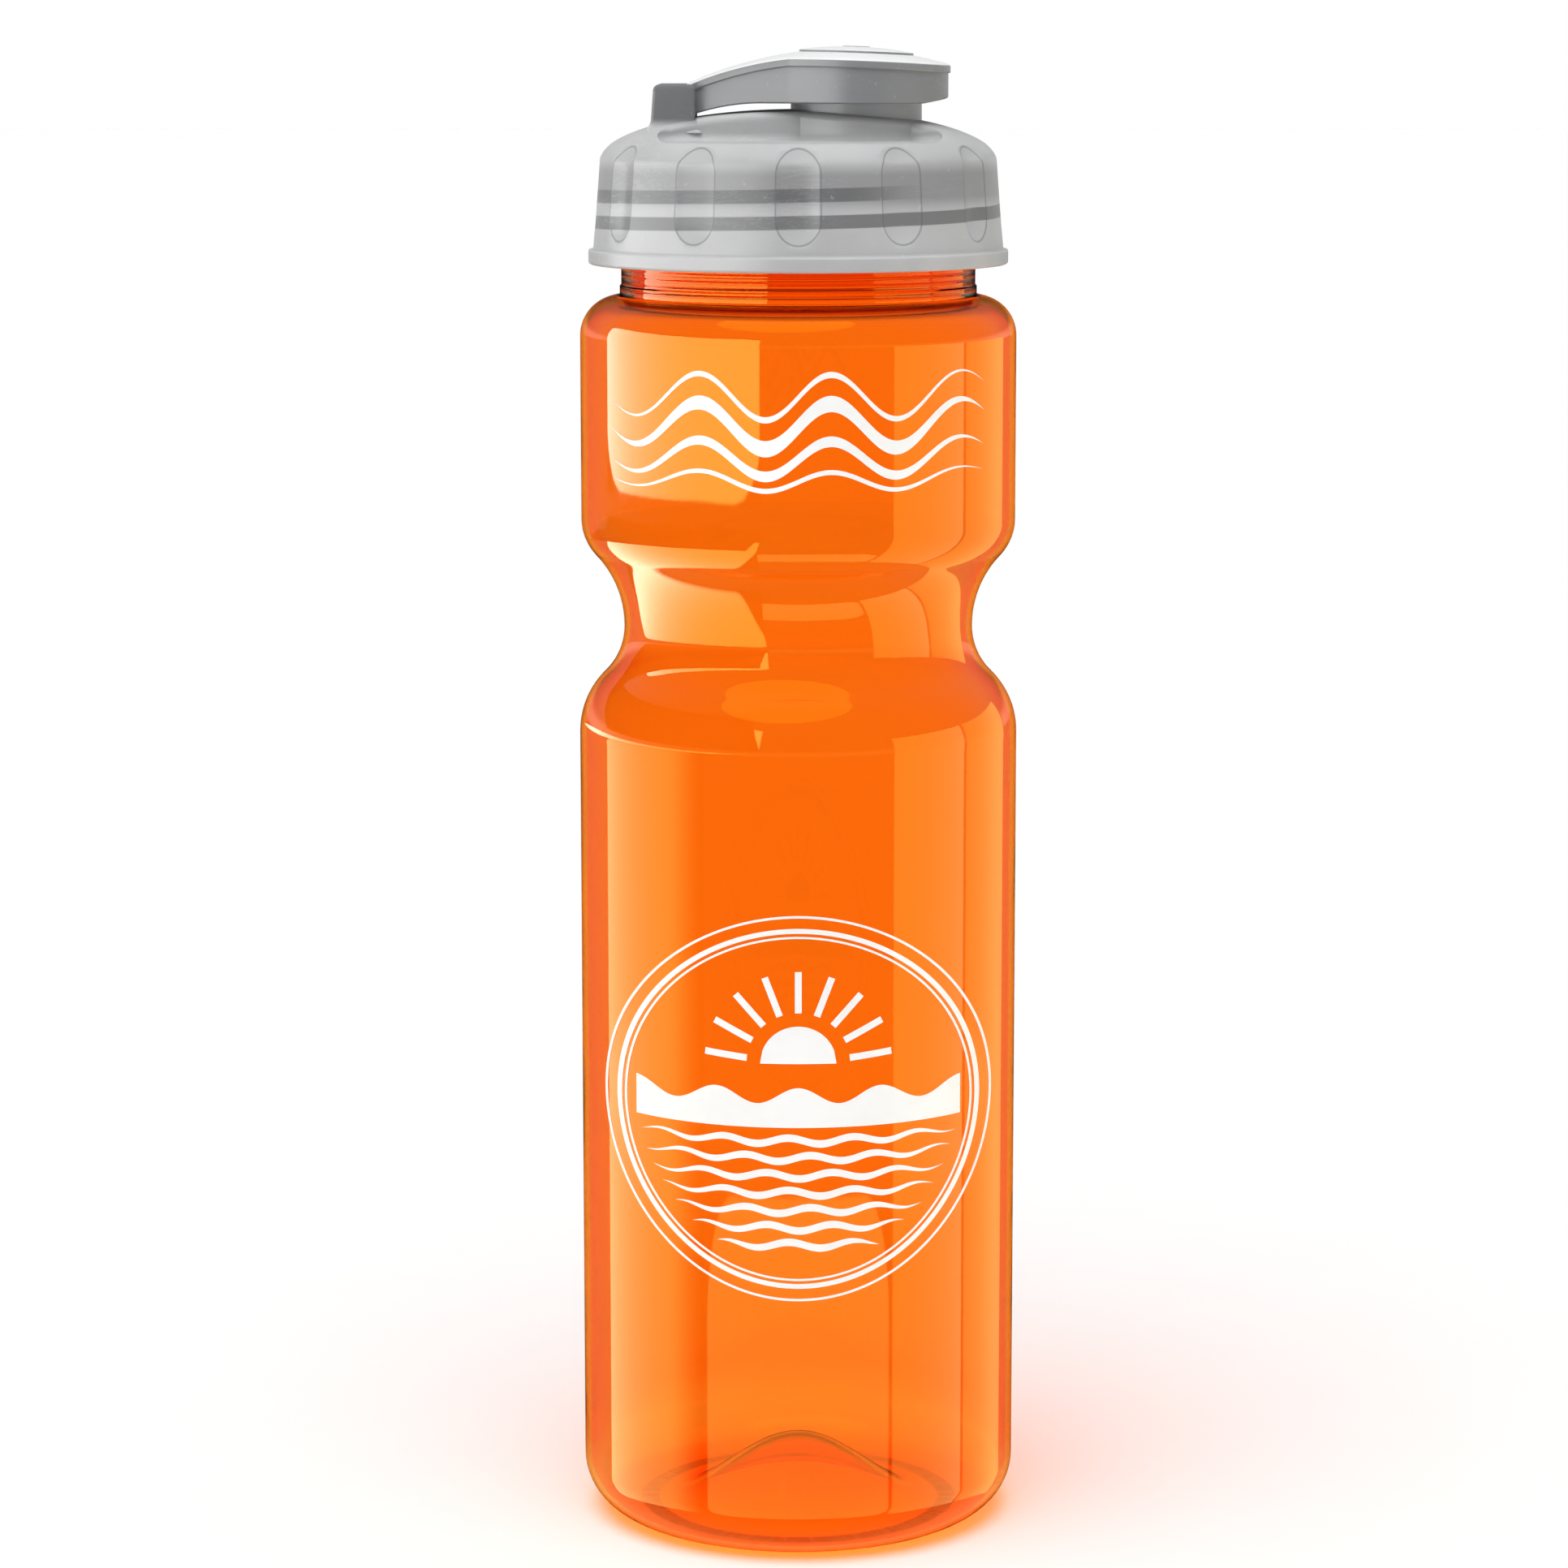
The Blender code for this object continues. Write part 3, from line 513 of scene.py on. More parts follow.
def fan_tree() -> bpy.types.NodeTree:
    """Copies of a mesh turned about Z by equal steps.

    Returns:
        The geometry tree.
    """
    inputs = {
        "Geometry": "NodeSocketGeometry", "Count": 12, "First Angle": 0.0, "Step Angle": 0.1,
        "Material": "NodeSocketMaterial",
    }
    tree, given, result = new_group(
        "fan_of_copies", "GeometryNodeTree", inputs, {"Geometry": "NodeSocketGeometry"}
    )
    get = given.outputs
    points = tree.add("GeometryNodePoints", {"Count": get["Count"]})
    turn = tree.math("MULTIPLY", tree.add("GeometryNodeInputIndex").outputs[0], get["Step Angle"])
    angle = tree.math("ADD", turn, get["First Angle"])
    copies = tree.add("GeometryNodeInstanceOnPoints", {
        "Points": points.outputs[0], "Instance": get["Geometry"],
        "Rotation": tree.merge(0.0, 0.0, angle),
    })
    dress_result(tree, copies.outputs[0], get["Material"], result)
    return tree.tree


def ripple_tree() -> bpy.types.NodeTree:
    """Rows of wavy ribbons in the XY plane, cut to a circle and thinned towards their ends.

    Returns:
        The geometry tree.
    """
    inputs = {
        "Rows": 8, "Columns": 80, "Half Width": 1.0, "Circle": 1.0, "Top": 0.0, "Spacing": 0.1,
        "Thickness": 0.05, "Taper": 1.0, "Amplitude": 0.02, "Wavelength": 0.3, "Phase Step": 1.0,
        "Material": "NodeSocketMaterial",
    }
    tree, given, result = new_group(
        "rippled_rows", "GeometryNodeTree", inputs, {"Geometry": "NodeSocketGeometry"}
    )
    get = given.outputs
    index = tree.add("GeometryNodeInputIndex").outputs[0]
    level = tree.math("SUBTRACT", get["Top"], tree.math("MULTIPLY", index, get["Spacing"]))
    points = tree.add("GeometryNodePoints", {
        "Count": get["Rows"], "Position": tree.merge(0.0, level, 0.0),
    })
    grid = tree.add("GeometryNodeMeshGrid", {
        "Size X": 2.0, "Size Y": 1.0, "Vertices X": get["Columns"], "Vertices Y": 3,
    })
    kept = tree.add("GeometryNodeCaptureAttribute")
    kept.capture_items.new("VECTOR", "grid")
    tree.feed(kept.inputs[0], grid.outputs["Mesh"])
    tree.feed(kept.inputs[1], tree.add("GeometryNodeInputPosition").outputs[0])
    place = tree.split(tree.add("GeometryNodeInputPosition").outputs[0])
    square = tree.math("SUBTRACT", tree.math("POWER", get["Circle"], 2.0),
                       tree.math("POWER", place.outputs["Y"], 2.0))
    chord = tree.math("SQRT", tree.math("MAXIMUM", square, 0.0))
    half = tree.math("MINIMUM", chord, get["Half Width"])
    rows = tree.add("GeometryNodeInstanceOnPoints", {
        "Points": points.outputs[0], "Instance": kept.outputs[0],
        "Scale": tree.merge(half, get["Thickness"], 1.0),
    })
    flat = tree.add("GeometryNodeRealizeInstances", {0: rows.outputs[0]})
    local = tree.split(kept.outputs[1])
    here = tree.split(tree.add("GeometryNodeInputPosition").outputs[0])
    across = tree.math("MULTIPLY", local.outputs["Y"], get["Thickness"])
    row_y = tree.math("SUBTRACT", here.outputs["Y"], across)
    end = tree.math("POWER", tree.math("ABSOLUTE", local.outputs["X"]), 3.0)
    thinned = tree.math("MULTIPLY", across, tree.math("MULTIPLY", end, get["Taper"]))
    phase = tree.math("MULTIPLY", tree.math("DIVIDE", row_y, get["Spacing"]), get["Phase Step"])
    turns = tree.math("DIVIDE", here.outputs["X"], get["Wavelength"])
    angle = tree.math("ADD", tree.math("MULTIPLY", turns, math.tau), phase)
    wave = tree.math("MULTIPLY", tree.math("SINE", angle), get["Amplitude"])
    shift = tree.merge(0.0, tree.math("SUBTRACT", wave, thinned), 0.0)
    waved = tree.add("GeometryNodeSetPosition", {"Geometry": flat.outputs[0], "Offset": shift})
    dress_result(tree, waved.outputs[0], get["Material"], result)
    return tree.tree


def dress_result(tree: Tree, geometry: Any, material: Any, result: bpy.types.Node) -> None:
    """End a geometry tree in Realize Instances and Set Material.

    Args:
        tree: The tree helper.
        geometry: The socket with the shape.
        material: The socket with its material.
        result: The tree's output node.
    """
    real = tree.add("GeometryNodeRealizeInstances", {0: geometry})
    dressed = tree.add("GeometryNodeSetMaterial", {"Geometry": real.outputs[0], "Material": material})
    tree.feed(result.inputs[0], dressed.outputs[0])


# ---------------------------------------------------------------- shared surface effects


def grain_group() -> bpy.types.NodeTree:
    """Fine mould grain and slow waviness of a plastic wall.

    Returns:
        A shader group that puts out a height and a value that varies over the surface.
    """
    inputs = {
        "Vector": "NodeSocketVector", "Grain Scale": 3000.0, "Wave Scale": 60.0, "Wave Share": 0.5,
    }
    outputs = {"Height": "NodeSocketFloat", "Variation": "NodeSocketFloat"}
    tree, given, result = new_group("mould_grain", "ShaderNodeTree", inputs, outputs)
    get = given.outputs
    fine = tree.add("ShaderNodeTexNoise", {
        "Vector": get["Vector"], "Scale": get["Grain Scale"], "Detail": 3.0, "Roughness": 0.6,
    })
    slow = tree.add("ShaderNodeTexNoise", {
        "Vector": get["Vector"], "Scale": get["Wave Scale"], "Detail": 2.0, "Roughness": 0.5,
    })
    wave = tree.math("MULTIPLY", slow.outputs["Fac"], get["Wave Share"])
    rest = tree.math("SUBTRACT", 1.0, get["Wave Share"])
    height = tree.math("ADD", wave, tree.math("MULTIPLY", fine.outputs["Fac"], rest))
    tree.feed(result.inputs["Height"], height)
    tree.feed(result.inputs["Variation"], slow.outputs["Fac"])
    return tree.tree


def wear_group() -> bpy.types.NodeTree:
    """Handling marks: hairline scuffs and a little settled dust.

    Returns:
        A shader group that puts out a scuff mask and a dust mask.
    """
    inputs = {"Vector": "NodeSocketVector", "Scuff Scale": 90.0, "Amount": 0.3}
    outputs = {"Scuffs": "NodeSocketFloat", "Dust": "NodeSocketFloat"}
    tree, given, result = new_group("handling_wear", "ShaderNodeTree", inputs, outputs)
    get = given.outputs
    stretched = tree.add("ShaderNodeMapping", {"Vector": get["Vector"], "Scale": (1.0, 1.0, 7.0)})
    lines = tree.add("ShaderNodeTexNoise", {
        "Vector": stretched.outputs[0], "Scale": get["Scuff Scale"], "Detail": 6.0, "Roughness": 0.75,
        "Distortion": 1.5,
    })
    near = tree.math("ABSOLUTE", tree.math("SUBTRACT", lines.outputs["Fac"], 0.5))
    hair = tree.spread(near, 0.0, 0.02, 1.0, 0.0)
    patch = tree.add("ShaderNodeTexNoise", {"Vector": get["Vector"], "Scale": 35.0, "Detail": 2.0})
    where = tree.spread(patch.outputs["Fac"], 0.5, 0.68, 0.0, 1.0)
    tree.feed(result.inputs["Scuffs"], tree.math("MULTIPLY", tree.math("MULTIPLY", hair, where),
                                                 get["Amount"]))
    specks = tree.add("ShaderNodeTexNoise", {"Vector": get["Vector"], "Scale": 900.0, "Detail": 2.0})
    dust = tree.spread(specks.outputs["Fac"], 0.68, 0.8, 0.0, 1.0)
    tree.feed(result.inputs["Dust"], tree.math("MULTIPLY", dust, get["Amount"]))
    return tree.tree


def helix_group() -> bpy.types.NodeTree:
    """A band that follows a screw thread round the Z axis and fades at both ends.

    Returns:
        A shader group that puts out the band's mask.
    """
    inputs = {
        "Vector": "NodeSocketVector", "Height": 0.0, "Pitch": 1.0, "Half Width": 0.1, "Soft": 0.1,
        "From Turn": -1.0, "To Turn": 1.0,
    }
    tree, given, result = new_group("helix_band", "ShaderNodeTree", inputs, {"Mask": "NodeSocketFloat"})
    get = given.outputs
    place = tree.split(get["Vector"])
    angle = tree.math("ARCTAN2", place.outputs["Y"], place.outputs["X"])
    turn = tree.math("DIVIDE", angle, math.tau)
    level = tree.math("DIVIDE", tree.math("SUBTRACT", place.outputs["Z"], get["Height"]), get["Pitch"])
    raised = tree.math("SUBTRACT", level, turn)
    whole = tree.math("ROUND", raised)
    away = tree.math("MULTIPLY", tree.math("ABSOLUTE", tree.math("SUBTRACT", raised, whole)),
                     get["Pitch"])
    edge = tree.math("DIVIDE", tree.math("SUBTRACT", away, get["Half Width"]), get["Soft"])
    band = tree.spread(edge, 0.0, 1.0, 1.0, 0.0)
    reached = tree.math("ADD", whole, turn)
    begun = tree.spread(tree.math("SUBTRACT", reached, get["From Turn"]), 0.0, 0.08, 0.0, 1.0)
    left = tree.spread(tree.math("SUBTRACT", get["To Turn"], reached), 0.0, 0.08, 0.0, 1.0)
    tree.feed(result.inputs["Mask"], tree.math("MULTIPLY", band, tree.math("MULTIPLY", begun, left)))
    return tree.tree


@dataclass(frozen=True)
class Effects:
    """The shader groups that the finishes share."""

    grain: bpy.types.NodeTree
    wear: bpy.types.NodeTree
    helix: bpy.types.NodeTree

    @classmethod
    def make(cls) -> "Effects":
        """Build every shared group once."""
        return cls(grain=grain_group(), wear=wear_group(), helix=helix_group())


def start_material(name: str) -> tuple[bpy.types.Material, Tree, bpy.types.Node, Any]:
    """Start a Principled material.

    Args:
        name: The material's name.

    Returns:
        The material, its tree helper, its shader and its Object coordinates.
    """
    material = bpy.data.materials.new(name)
    material.use_nodes = True
    tree = Tree(material.node_tree)
    shader = material.node_tree.nodes["Principled BSDF"]
    where = tree.add("ShaderNodeTexCoord").outputs["Object"]
    return material, tree, shader, where


def use_group(tree: Tree, group: bpy.types.NodeTree, inputs: dict[str, Any]) -> bpy.types.Node:
    """Place a shared group in a material with its own values."""
    node = tree.add("ShaderNodeGroup", node_tree=group)
    for key, value in inputs.items():
        tree.feed(node.inputs[key], value)
    return node


@dataclass(frozen=True)
class ClearPlastic:
    """Glossy transparent tinted plastic with a deeper neck, partly from its thicker wall and partly
    painted shade under the cap, and a paler foot, painted light against the shade under the bottle.

    Light that bends at a grazing angle is only refracted, which keeps the wall's outline clear.
    Shadows are let through with a tint.
    """

    name: str = "clear_orange_plastic"
    colour: tuple[float, float, float, float] = (1.0, 0.375, 0.05, 1.0)
    deep: tuple[float, float, float, float] = (0.98, 0.33, 0.035, 1.0)
    foot: tuple[float, float, float, float] = (1.0, 0.58, 0.16, 1.0)
    neck: tuple[float, float, float, float] = (0.93, 0.28, 0.03, 1.0)
    reflect: tuple[float, float, float, float] = (1.0, 0.62, 0.1, 1.0)
    through: tuple[float, float, float, float] = (1.0, 0.66, 0.25, 1.0)
    ior: float = 1.5
    painted_light_foot_below: Point = (5 * MM, 16 * MM)
    neck_above: float = 206.5 * MM
    rib_pitch: float = 1.15 * MM
    ripple: float = 0.03 * MM

    def build(self, effects: Effects) -> bpy.types.Material:
        """Make the material.

        Args:
            effects: The shared groups.

        Returns:
            The material.
        """
        material, tree, shader, where = start_material(self.name)
        grain = use_group(tree, effects.grain, {
            "Vector": where, "Grain Scale": 400.0, "Wave Scale": 45.0, "Wave Share": 0.96,
        })
        wear = use_group(tree, effects.wear, {"Vector": where, "Scuff Scale": 120.0, "Amount": 0.5})
        height = tree.split(where).outputs["Z"]
        # Painted light: the foot is paler, against the shade under the bottle.
        foot = tree.spread(height, self.painted_light_foot_below[0], self.painted_light_foot_below[1], 1.0, 0.0)
        # The neck is deeper: partly its thicker wall, partly painted shade under the cap.
        neck = tree.spread(height, self.neck_above, self.neck_above + 1.5 * MM, 0.0, 1.0)
        drift = tree.math("MULTIPLY", grain.outputs["Variation"], 0.25)
        wall = tree.tint(drift, self.colour, self.deep)
        wall = tree.tint(neck, tree.tint(foot, wall, self.foot), self.neck)
        tree.feed(shader.inputs["Base Color"], wall)
        rough = tree.math("ADD", 0.025, tree.math("MULTIPLY", wear.outputs["Scuffs"], 0.12))
        tree.feed(shader.inputs["Roughness"], rough)
        ribs = tree.math("SINE", tree.math("MULTIPLY", height, math.tau / self.rib_pitch))
        relief = tree.math("ADD", grain.outputs["Height"], tree.math("MULTIPLY", ribs, neck))
        bump = tree.add("ShaderNodeBump", {
            "Height": relief, "Distance": self.ripple, "Strength": 1.0,
        })
        tree.feed(shader.inputs["Normal"], bump.outputs[0])
        shader.inputs["IOR"].default_value = self.ior
        shader.inputs["Transmission Weight"].default_value = 1.0
        shader.inputs["Metallic"].default_value = 0.0
        shader.inputs["Specular Tint"].default_value = self.reflect
        facing = tree.add("ShaderNodeLayerWeight", {"Blend": 0.5}).outputs["Facing"]
        grazing = tree.spread(facing, 0.55, 0.88, 0.0, 0.95)
        calm = tree.math("MAXIMUM", grazing, tree.math("MULTIPLY", neck, 0.4))
        bend = tree.add("ShaderNodeBsdfRefraction", {
            "Color": wall, "Roughness": rough, "IOR": self.ior, "Normal": bump.outputs[0],
        })
        body = tree.blend(calm, shader.outputs[0], bend.outputs[0])
        shadow_ray = tree.add("ShaderNodeLightPath").outputs["Is Shadow Ray"]
        tinted_air = tree.add("ShaderNodeBsdfTransparent", {"Color": self.through})
        mix = tree.blend(shadow_ray, body, tinted_air.outputs[0])
        tree.feed(material.node_tree.nodes["Material Output"].inputs["Surface"], mix)
        return material


@dataclass(frozen=True)
class FrostedPlastic:
    """Satin translucent plastic with painted light and shade: a lighter colour on faces turned up, and
    painted shade in a band below the dome, on the hinge ear, in lines round the grips and in bands over
    the inner thread.
    """

    name: str = "frosted_plastic"
    colour: tuple[float, float, float, float] = (0.48, 0.482, 0.487, 1.0)
    shade: tuple[float, float, float, float] = (0.12, 0.122, 0.126, 1.0)
    # Painted light: the colour given to faces turned up.
    top: tuple[float, float, float, float] | None = None
    roughness: float = 0.34
    gloss: float = 0.18
    glow: float = 0.25
    painted_shade_band: Point | None = None
    painted_shade_ear: Point | None = None
    grips: tuple[int, float, float] | None = None
    shade_band_soft: float = 1.3 * MM
    shade_band_dark: float = 0.5
    ear_shade_soft: Point = (0.6 * MM, 1.5 * MM)
    ear_shade_dark: float = 0.85
    grip_half: Point = (3.62 * MM, 4.12 * MM)
    grip_run: float = 3.5 * MM
    grip_shade_edges: Point = (0.015, 0.055)
    grip_shade_dark: float = 0.5
    thread_height: float | None = None
    thread_pitch: float = 4.23 * MM
    thread_half: float = 0.95 * MM
    thread_from: float = -0.667
    thread_to: float = 0.864

    def build(self, effects: Effects) -> bpy.types.Material:
        """Make the material.

        Args:
            effects: The shared groups.

        Returns:
            The material.
        """
        material, tree, shader, where = start_material(self.name)
        grain = use_group(tree, effects.grain, {
            "Vector": where, "Grain Scale": 2600.0, "Wave Scale": 70.0, "Wave Share": 0.35,
        })
        wear = use_group(tree, effects.wear, {"Vector": where, "Scuff Scale": 70.0, "Amount": 0.35})
        cloud = tree.spread(grain.outputs["Variation"], 0.35, 0.7, 0.0, 0.12)
        base = tree.tint(cloud, self.colour, self.shade)
        place = tree.split(where)
        # Painted light: faces turned up get the lighter top colour.
        if self.top is not None:
            normal = tree.split(tree.add("ShaderNodeNewGeometry").outputs["Normal"])
            up = tree.spread(normal.outputs["Z"], 0.45, 0.85, 0.0, 1.0)
            base = tree.tint(up, base, self.top)
        # Painted shade: a darker band round the skirt just below the dome.
        if self.painted_shade_band is not None:
            low, high = self.painted_shade_band
            soft, dark = self.shade_band_soft, self.shade_band_dark
            rise = tree.spread(place.outputs["Z"], low - soft, low + soft, 0.0, dark)
            fall = tree.spread(place.outputs["Z"], high - soft, high + soft, dark, 0.0)
            base = tree.tint(tree.math("MINIMUM", rise, fall), base, self.shade)
        # Painted shade: the hinge ear is darkened.
        if self.painted_shade_ear is not None:
            right, foot = self.painted_shade_ear
            side_soft, foot_soft = self.ear_shade_soft
            beside = tree.spread(place.outputs["X"], right - side_soft, right, self.ear_shade_dark, 0.0)
            above = tree.spread(place.outputs["Z"], foot - foot_soft, foot, 0.0, self.ear_shade_dark)
            base = tree.tint(tree.math("MINIMUM", beside, above), base, self.shade)
        # Painted shade: dark lines round the finger grips' edges.
        if self.grips is not None:
            base = tree.tint(self.grip_edge_shade(tree, place), base, self.shade)
        # Painted shade: darker bands where the inner thread lies behind the wall.
        if self.thread_height is not None:
            band = use_group(tree, effects.helix, {
                "Vector": where, "Height": self.thread_height, "Pitch": self.thread_pitch,
                "Half Width": self.thread_half, "Soft": 0.25 * MM, "From Turn": self.thread_from,
                "To Turn": self.thread_to,
            })
            share = tree.math("MULTIPLY", band.outputs["Mask"], 0.8)
            base = tree.tint(share, base, self.shade)
        pale = tree.math("ADD", wear.outputs["Scuffs"], wear.outputs["Dust"], clamp=True)
        base = tree.tint(tree.math("MULTIPLY", pale, 0.5), base, (0.85, 0.85, 0.85, 1.0))
        tree.feed(shader.inputs["Base Color"], base)
        rough = tree.math("ADD", self.roughness, tree.math("MULTIPLY", pale, 0.2))
        tree.feed(shader.inputs["Roughness"], rough)
        bump = tree.add("ShaderNodeBump", {
            "Height": grain.outputs["Height"], "Distance": 0.012 * MM, "Strength": 1.0,
        })
        tree.feed(shader.inputs["Normal"], bump.outputs[0])
        shader.inputs["IOR"].default_value = 1.5
        shader.inputs["Specular IOR Level"].default_value = self.gloss
        shader.inputs["Subsurface Weight"].default_value = self.glow
        shader.inputs["Subsurface Radius"].default_value = (1.0, 1.0, 1.0)
        shader.inputs["Subsurface Scale"].default_value = 2.0 * MM
        return material

    def grip_edge_shade(self, tree: Tree, place: bpy.types.Node) -> bpy.types.NodeSocket:
        """Painted shade: fine dark lines round the finger grips' edges.

        Args:
            tree: The material's tree.
            place: The node that splits the position.

        Returns:
            How dark the line is, 0 to 1.
        """
        count, radius, middle = self.grips
        turn = tree.math("ARCTAN2", place.outputs["Y"], place.outputs["X"])
        part = tree.math("ADD", tree.math("MULTIPLY", turn, count / math.tau), count + 0.5)
        local = tree.math("SUBTRACT", tree.math("FRACT", part), 0.5)
        across = tree.math("MULTIPLY", local, math.tau * radius / count / self.grip_half[0])
        off = tree.math("ABSOLUTE", tree.math("SUBTRACT", place.outputs["Z"], middle))
        past = tree.math("MAXIMUM", tree.math("SUBTRACT", off, self.grip_run), 0.0)
        along = tree.math("DIVIDE", past, self.grip_half[1])
        square = tree.math("ADD", tree.math("MULTIPLY", across, across),
                           tree.math("MULTIPLY", along, along))
        away = tree.math("ABSOLUTE", tree.math("SUBTRACT", tree.math("SQRT", square), 1.0))
        return tree.spread(away, *self.grip_shade_edges, self.grip_shade_dark, 0.0)


@dataclass(frozen=True)
class MattFinish:
    """An opaque or nearly opaque dull finish: ink, soft rubber or a plain pin."""

    name: str
    colour: tuple[float, float, float, float]
    shade: tuple[float, float, float, float]
    roughness: float
    grain_scale: float = 1800.0
    grain_height: float = 0.01 * MM

    def build(self, effects: Effects) -> bpy.types.Material:
        """Make the material.

        Args:
            effects: The shared groups.

        Returns:
            The material.
        """
        material, tree, shader, where = start_material(self.name)
        grain = use_group(tree, effects.grain, {
            "Vector": where, "Grain Scale": self.grain_scale, "Wave Scale": 150.0, "Wave Share": 0.2,
        })
        wear = use_group(tree, effects.wear, {"Vector": where, "Scuff Scale": 160.0, "Amount": 0.4})
        mottle = tree.spread(grain.outputs["Variation"], 0.4, 0.7, 0.0, 0.35)
        worn = tree.math("ADD", mottle, wear.outputs["Scuffs"], clamp=True)
        tree.feed(shader.inputs["Base Color"], tree.tint(worn, self.colour, self.shade))
        rough = tree.math("ADD", self.roughness, tree.math("MULTIPLY", grain.outputs["Variation"], 0.1))
        tree.feed(shader.inputs["Roughness"], rough)
        bump = tree.add("ShaderNodeBump", {
            "Height": grain.outputs["Height"], "Distance": self.grain_height, "Strength": 1.0,
        })
        tree.feed(shader.inputs["Normal"], bump.outputs[0])
        return material


# ---------------------------------------------------------------- places


@dataclass(frozen=True)
class Places:
    """Heights and radii read from the CAD nodes' boxes."""

    body_r: float
    lip_z: float
    rim_z: float
    flange_r: float
    spout_top_z: float
    spout_x: float
    pivot: Vector
    pin_r: float
    pin_near_y: float
    pin_far_y: float
    lever_nose_x: float
    gasket_low: float
    gasket_high: float
    gasket_r: float
    plug_low: float
    plug_high: float
    plug_flange_r: float

    @classmethod
    def read(cls) -> "Places":
        """Read them from the loaded frame."""
        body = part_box("bottle_body")
        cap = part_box("screw_cap")
        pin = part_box("hinge_pin")
        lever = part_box("flip_lever")
        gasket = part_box("cap_gasket")
        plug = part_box("spout_plug")
        return cls(
            body_r=body[1][0], lip_z=body[1][2], rim_z=cap[0][2], flange_r=cap[1][0],
            spout_top_z=cap[1][2], spout_x=(plug[0][0] + plug[1][0]) / 2,
            pivot=Vector(((pin[0][0] + pin[1][0]) / 2, 0.0, (pin[0][2] + pin[1][2]) / 2)),
            pin_r=(pin[1][2] - pin[0][2]) / 2, pin_near_y=pin[0][1], pin_far_y=pin[1][1],
            lever_nose_x=lever[1][0], gasket_low=gasket[0][2], gasket_high=gasket[1][2],
            gasket_r=gasket[1][0], plug_low=plug[0][2], plug_high=plug[1][2],
            plug_flange_r=(plug[1][0] - plug[0][0]) / 2,
        )


@dataclass(frozen=True)
class Thread:
    """The screw thread that the neck and the cap share: right-handed, one start."""

    pitch: float = 4.23 * MM
    depth: float = 1.6 * MM
    root_width: float = 2.1 * MM
    crest_width: float = 1.36 * MM
    embed: float = 0.5 * MM
    gap: float = 0.45 * MM
    run_out_degrees: float = 28.0
    below_lip: float = 6.4 * MM
    steps_a_turn: int = 160

    def ridge(
        self, group: bpy.types.NodeTree, wall_r: float, height: float, ends: Point, inside: bool
    ) -> bpy.types.Mesh:
        """Make the ridge as a closed solid.

        Args:
            group: The thread's geometry tree.
            wall_r: The radius of the wall it grows from.
            height: Its height where it crosses +X on its middle turn.
            ends: Its first and last angle in degrees.
            inside: It grows towards the axis.

        Returns:
            The ridge.
        """
        turns = (ends[1] - ends[0]) / 360
        mesh = grow(group, {
            "Wall Radius": wall_r, "Pitch": self.pitch, "Turns": turns, "Steps": self.steps_a_turn,
            "First Angle": math.radians(ends[0]), "First Height": height + self.pitch * ends[0] / 360,
            "Depth": self.depth, "Embed": self.embed, "Root Width": self.root_width,
            "Crest Width": self.crest_width, "Side": -1.0 if inside else 1.0,
            "Run Out": self.run_out_degrees / (ends[1] - ends[0]),
        })
        return outward(mesh)


def outward(mesh: bpy.types.Mesh) -> bpy.types.Mesh:
    """Merge a mesh's doubles and turn its faces outwards."""
    shape = bmesh.new()
    shape.from_mesh(mesh)
    bmesh.ops.remove_doubles(shape, verts=shape.verts, dist=MERGE)
    bmesh.ops.recalc_face_normals(shape, faces=shape.faces)
    shape.to_mesh(mesh)
    shape.free()
    return mesh


# ---------------------------------------------------------------- bottle body


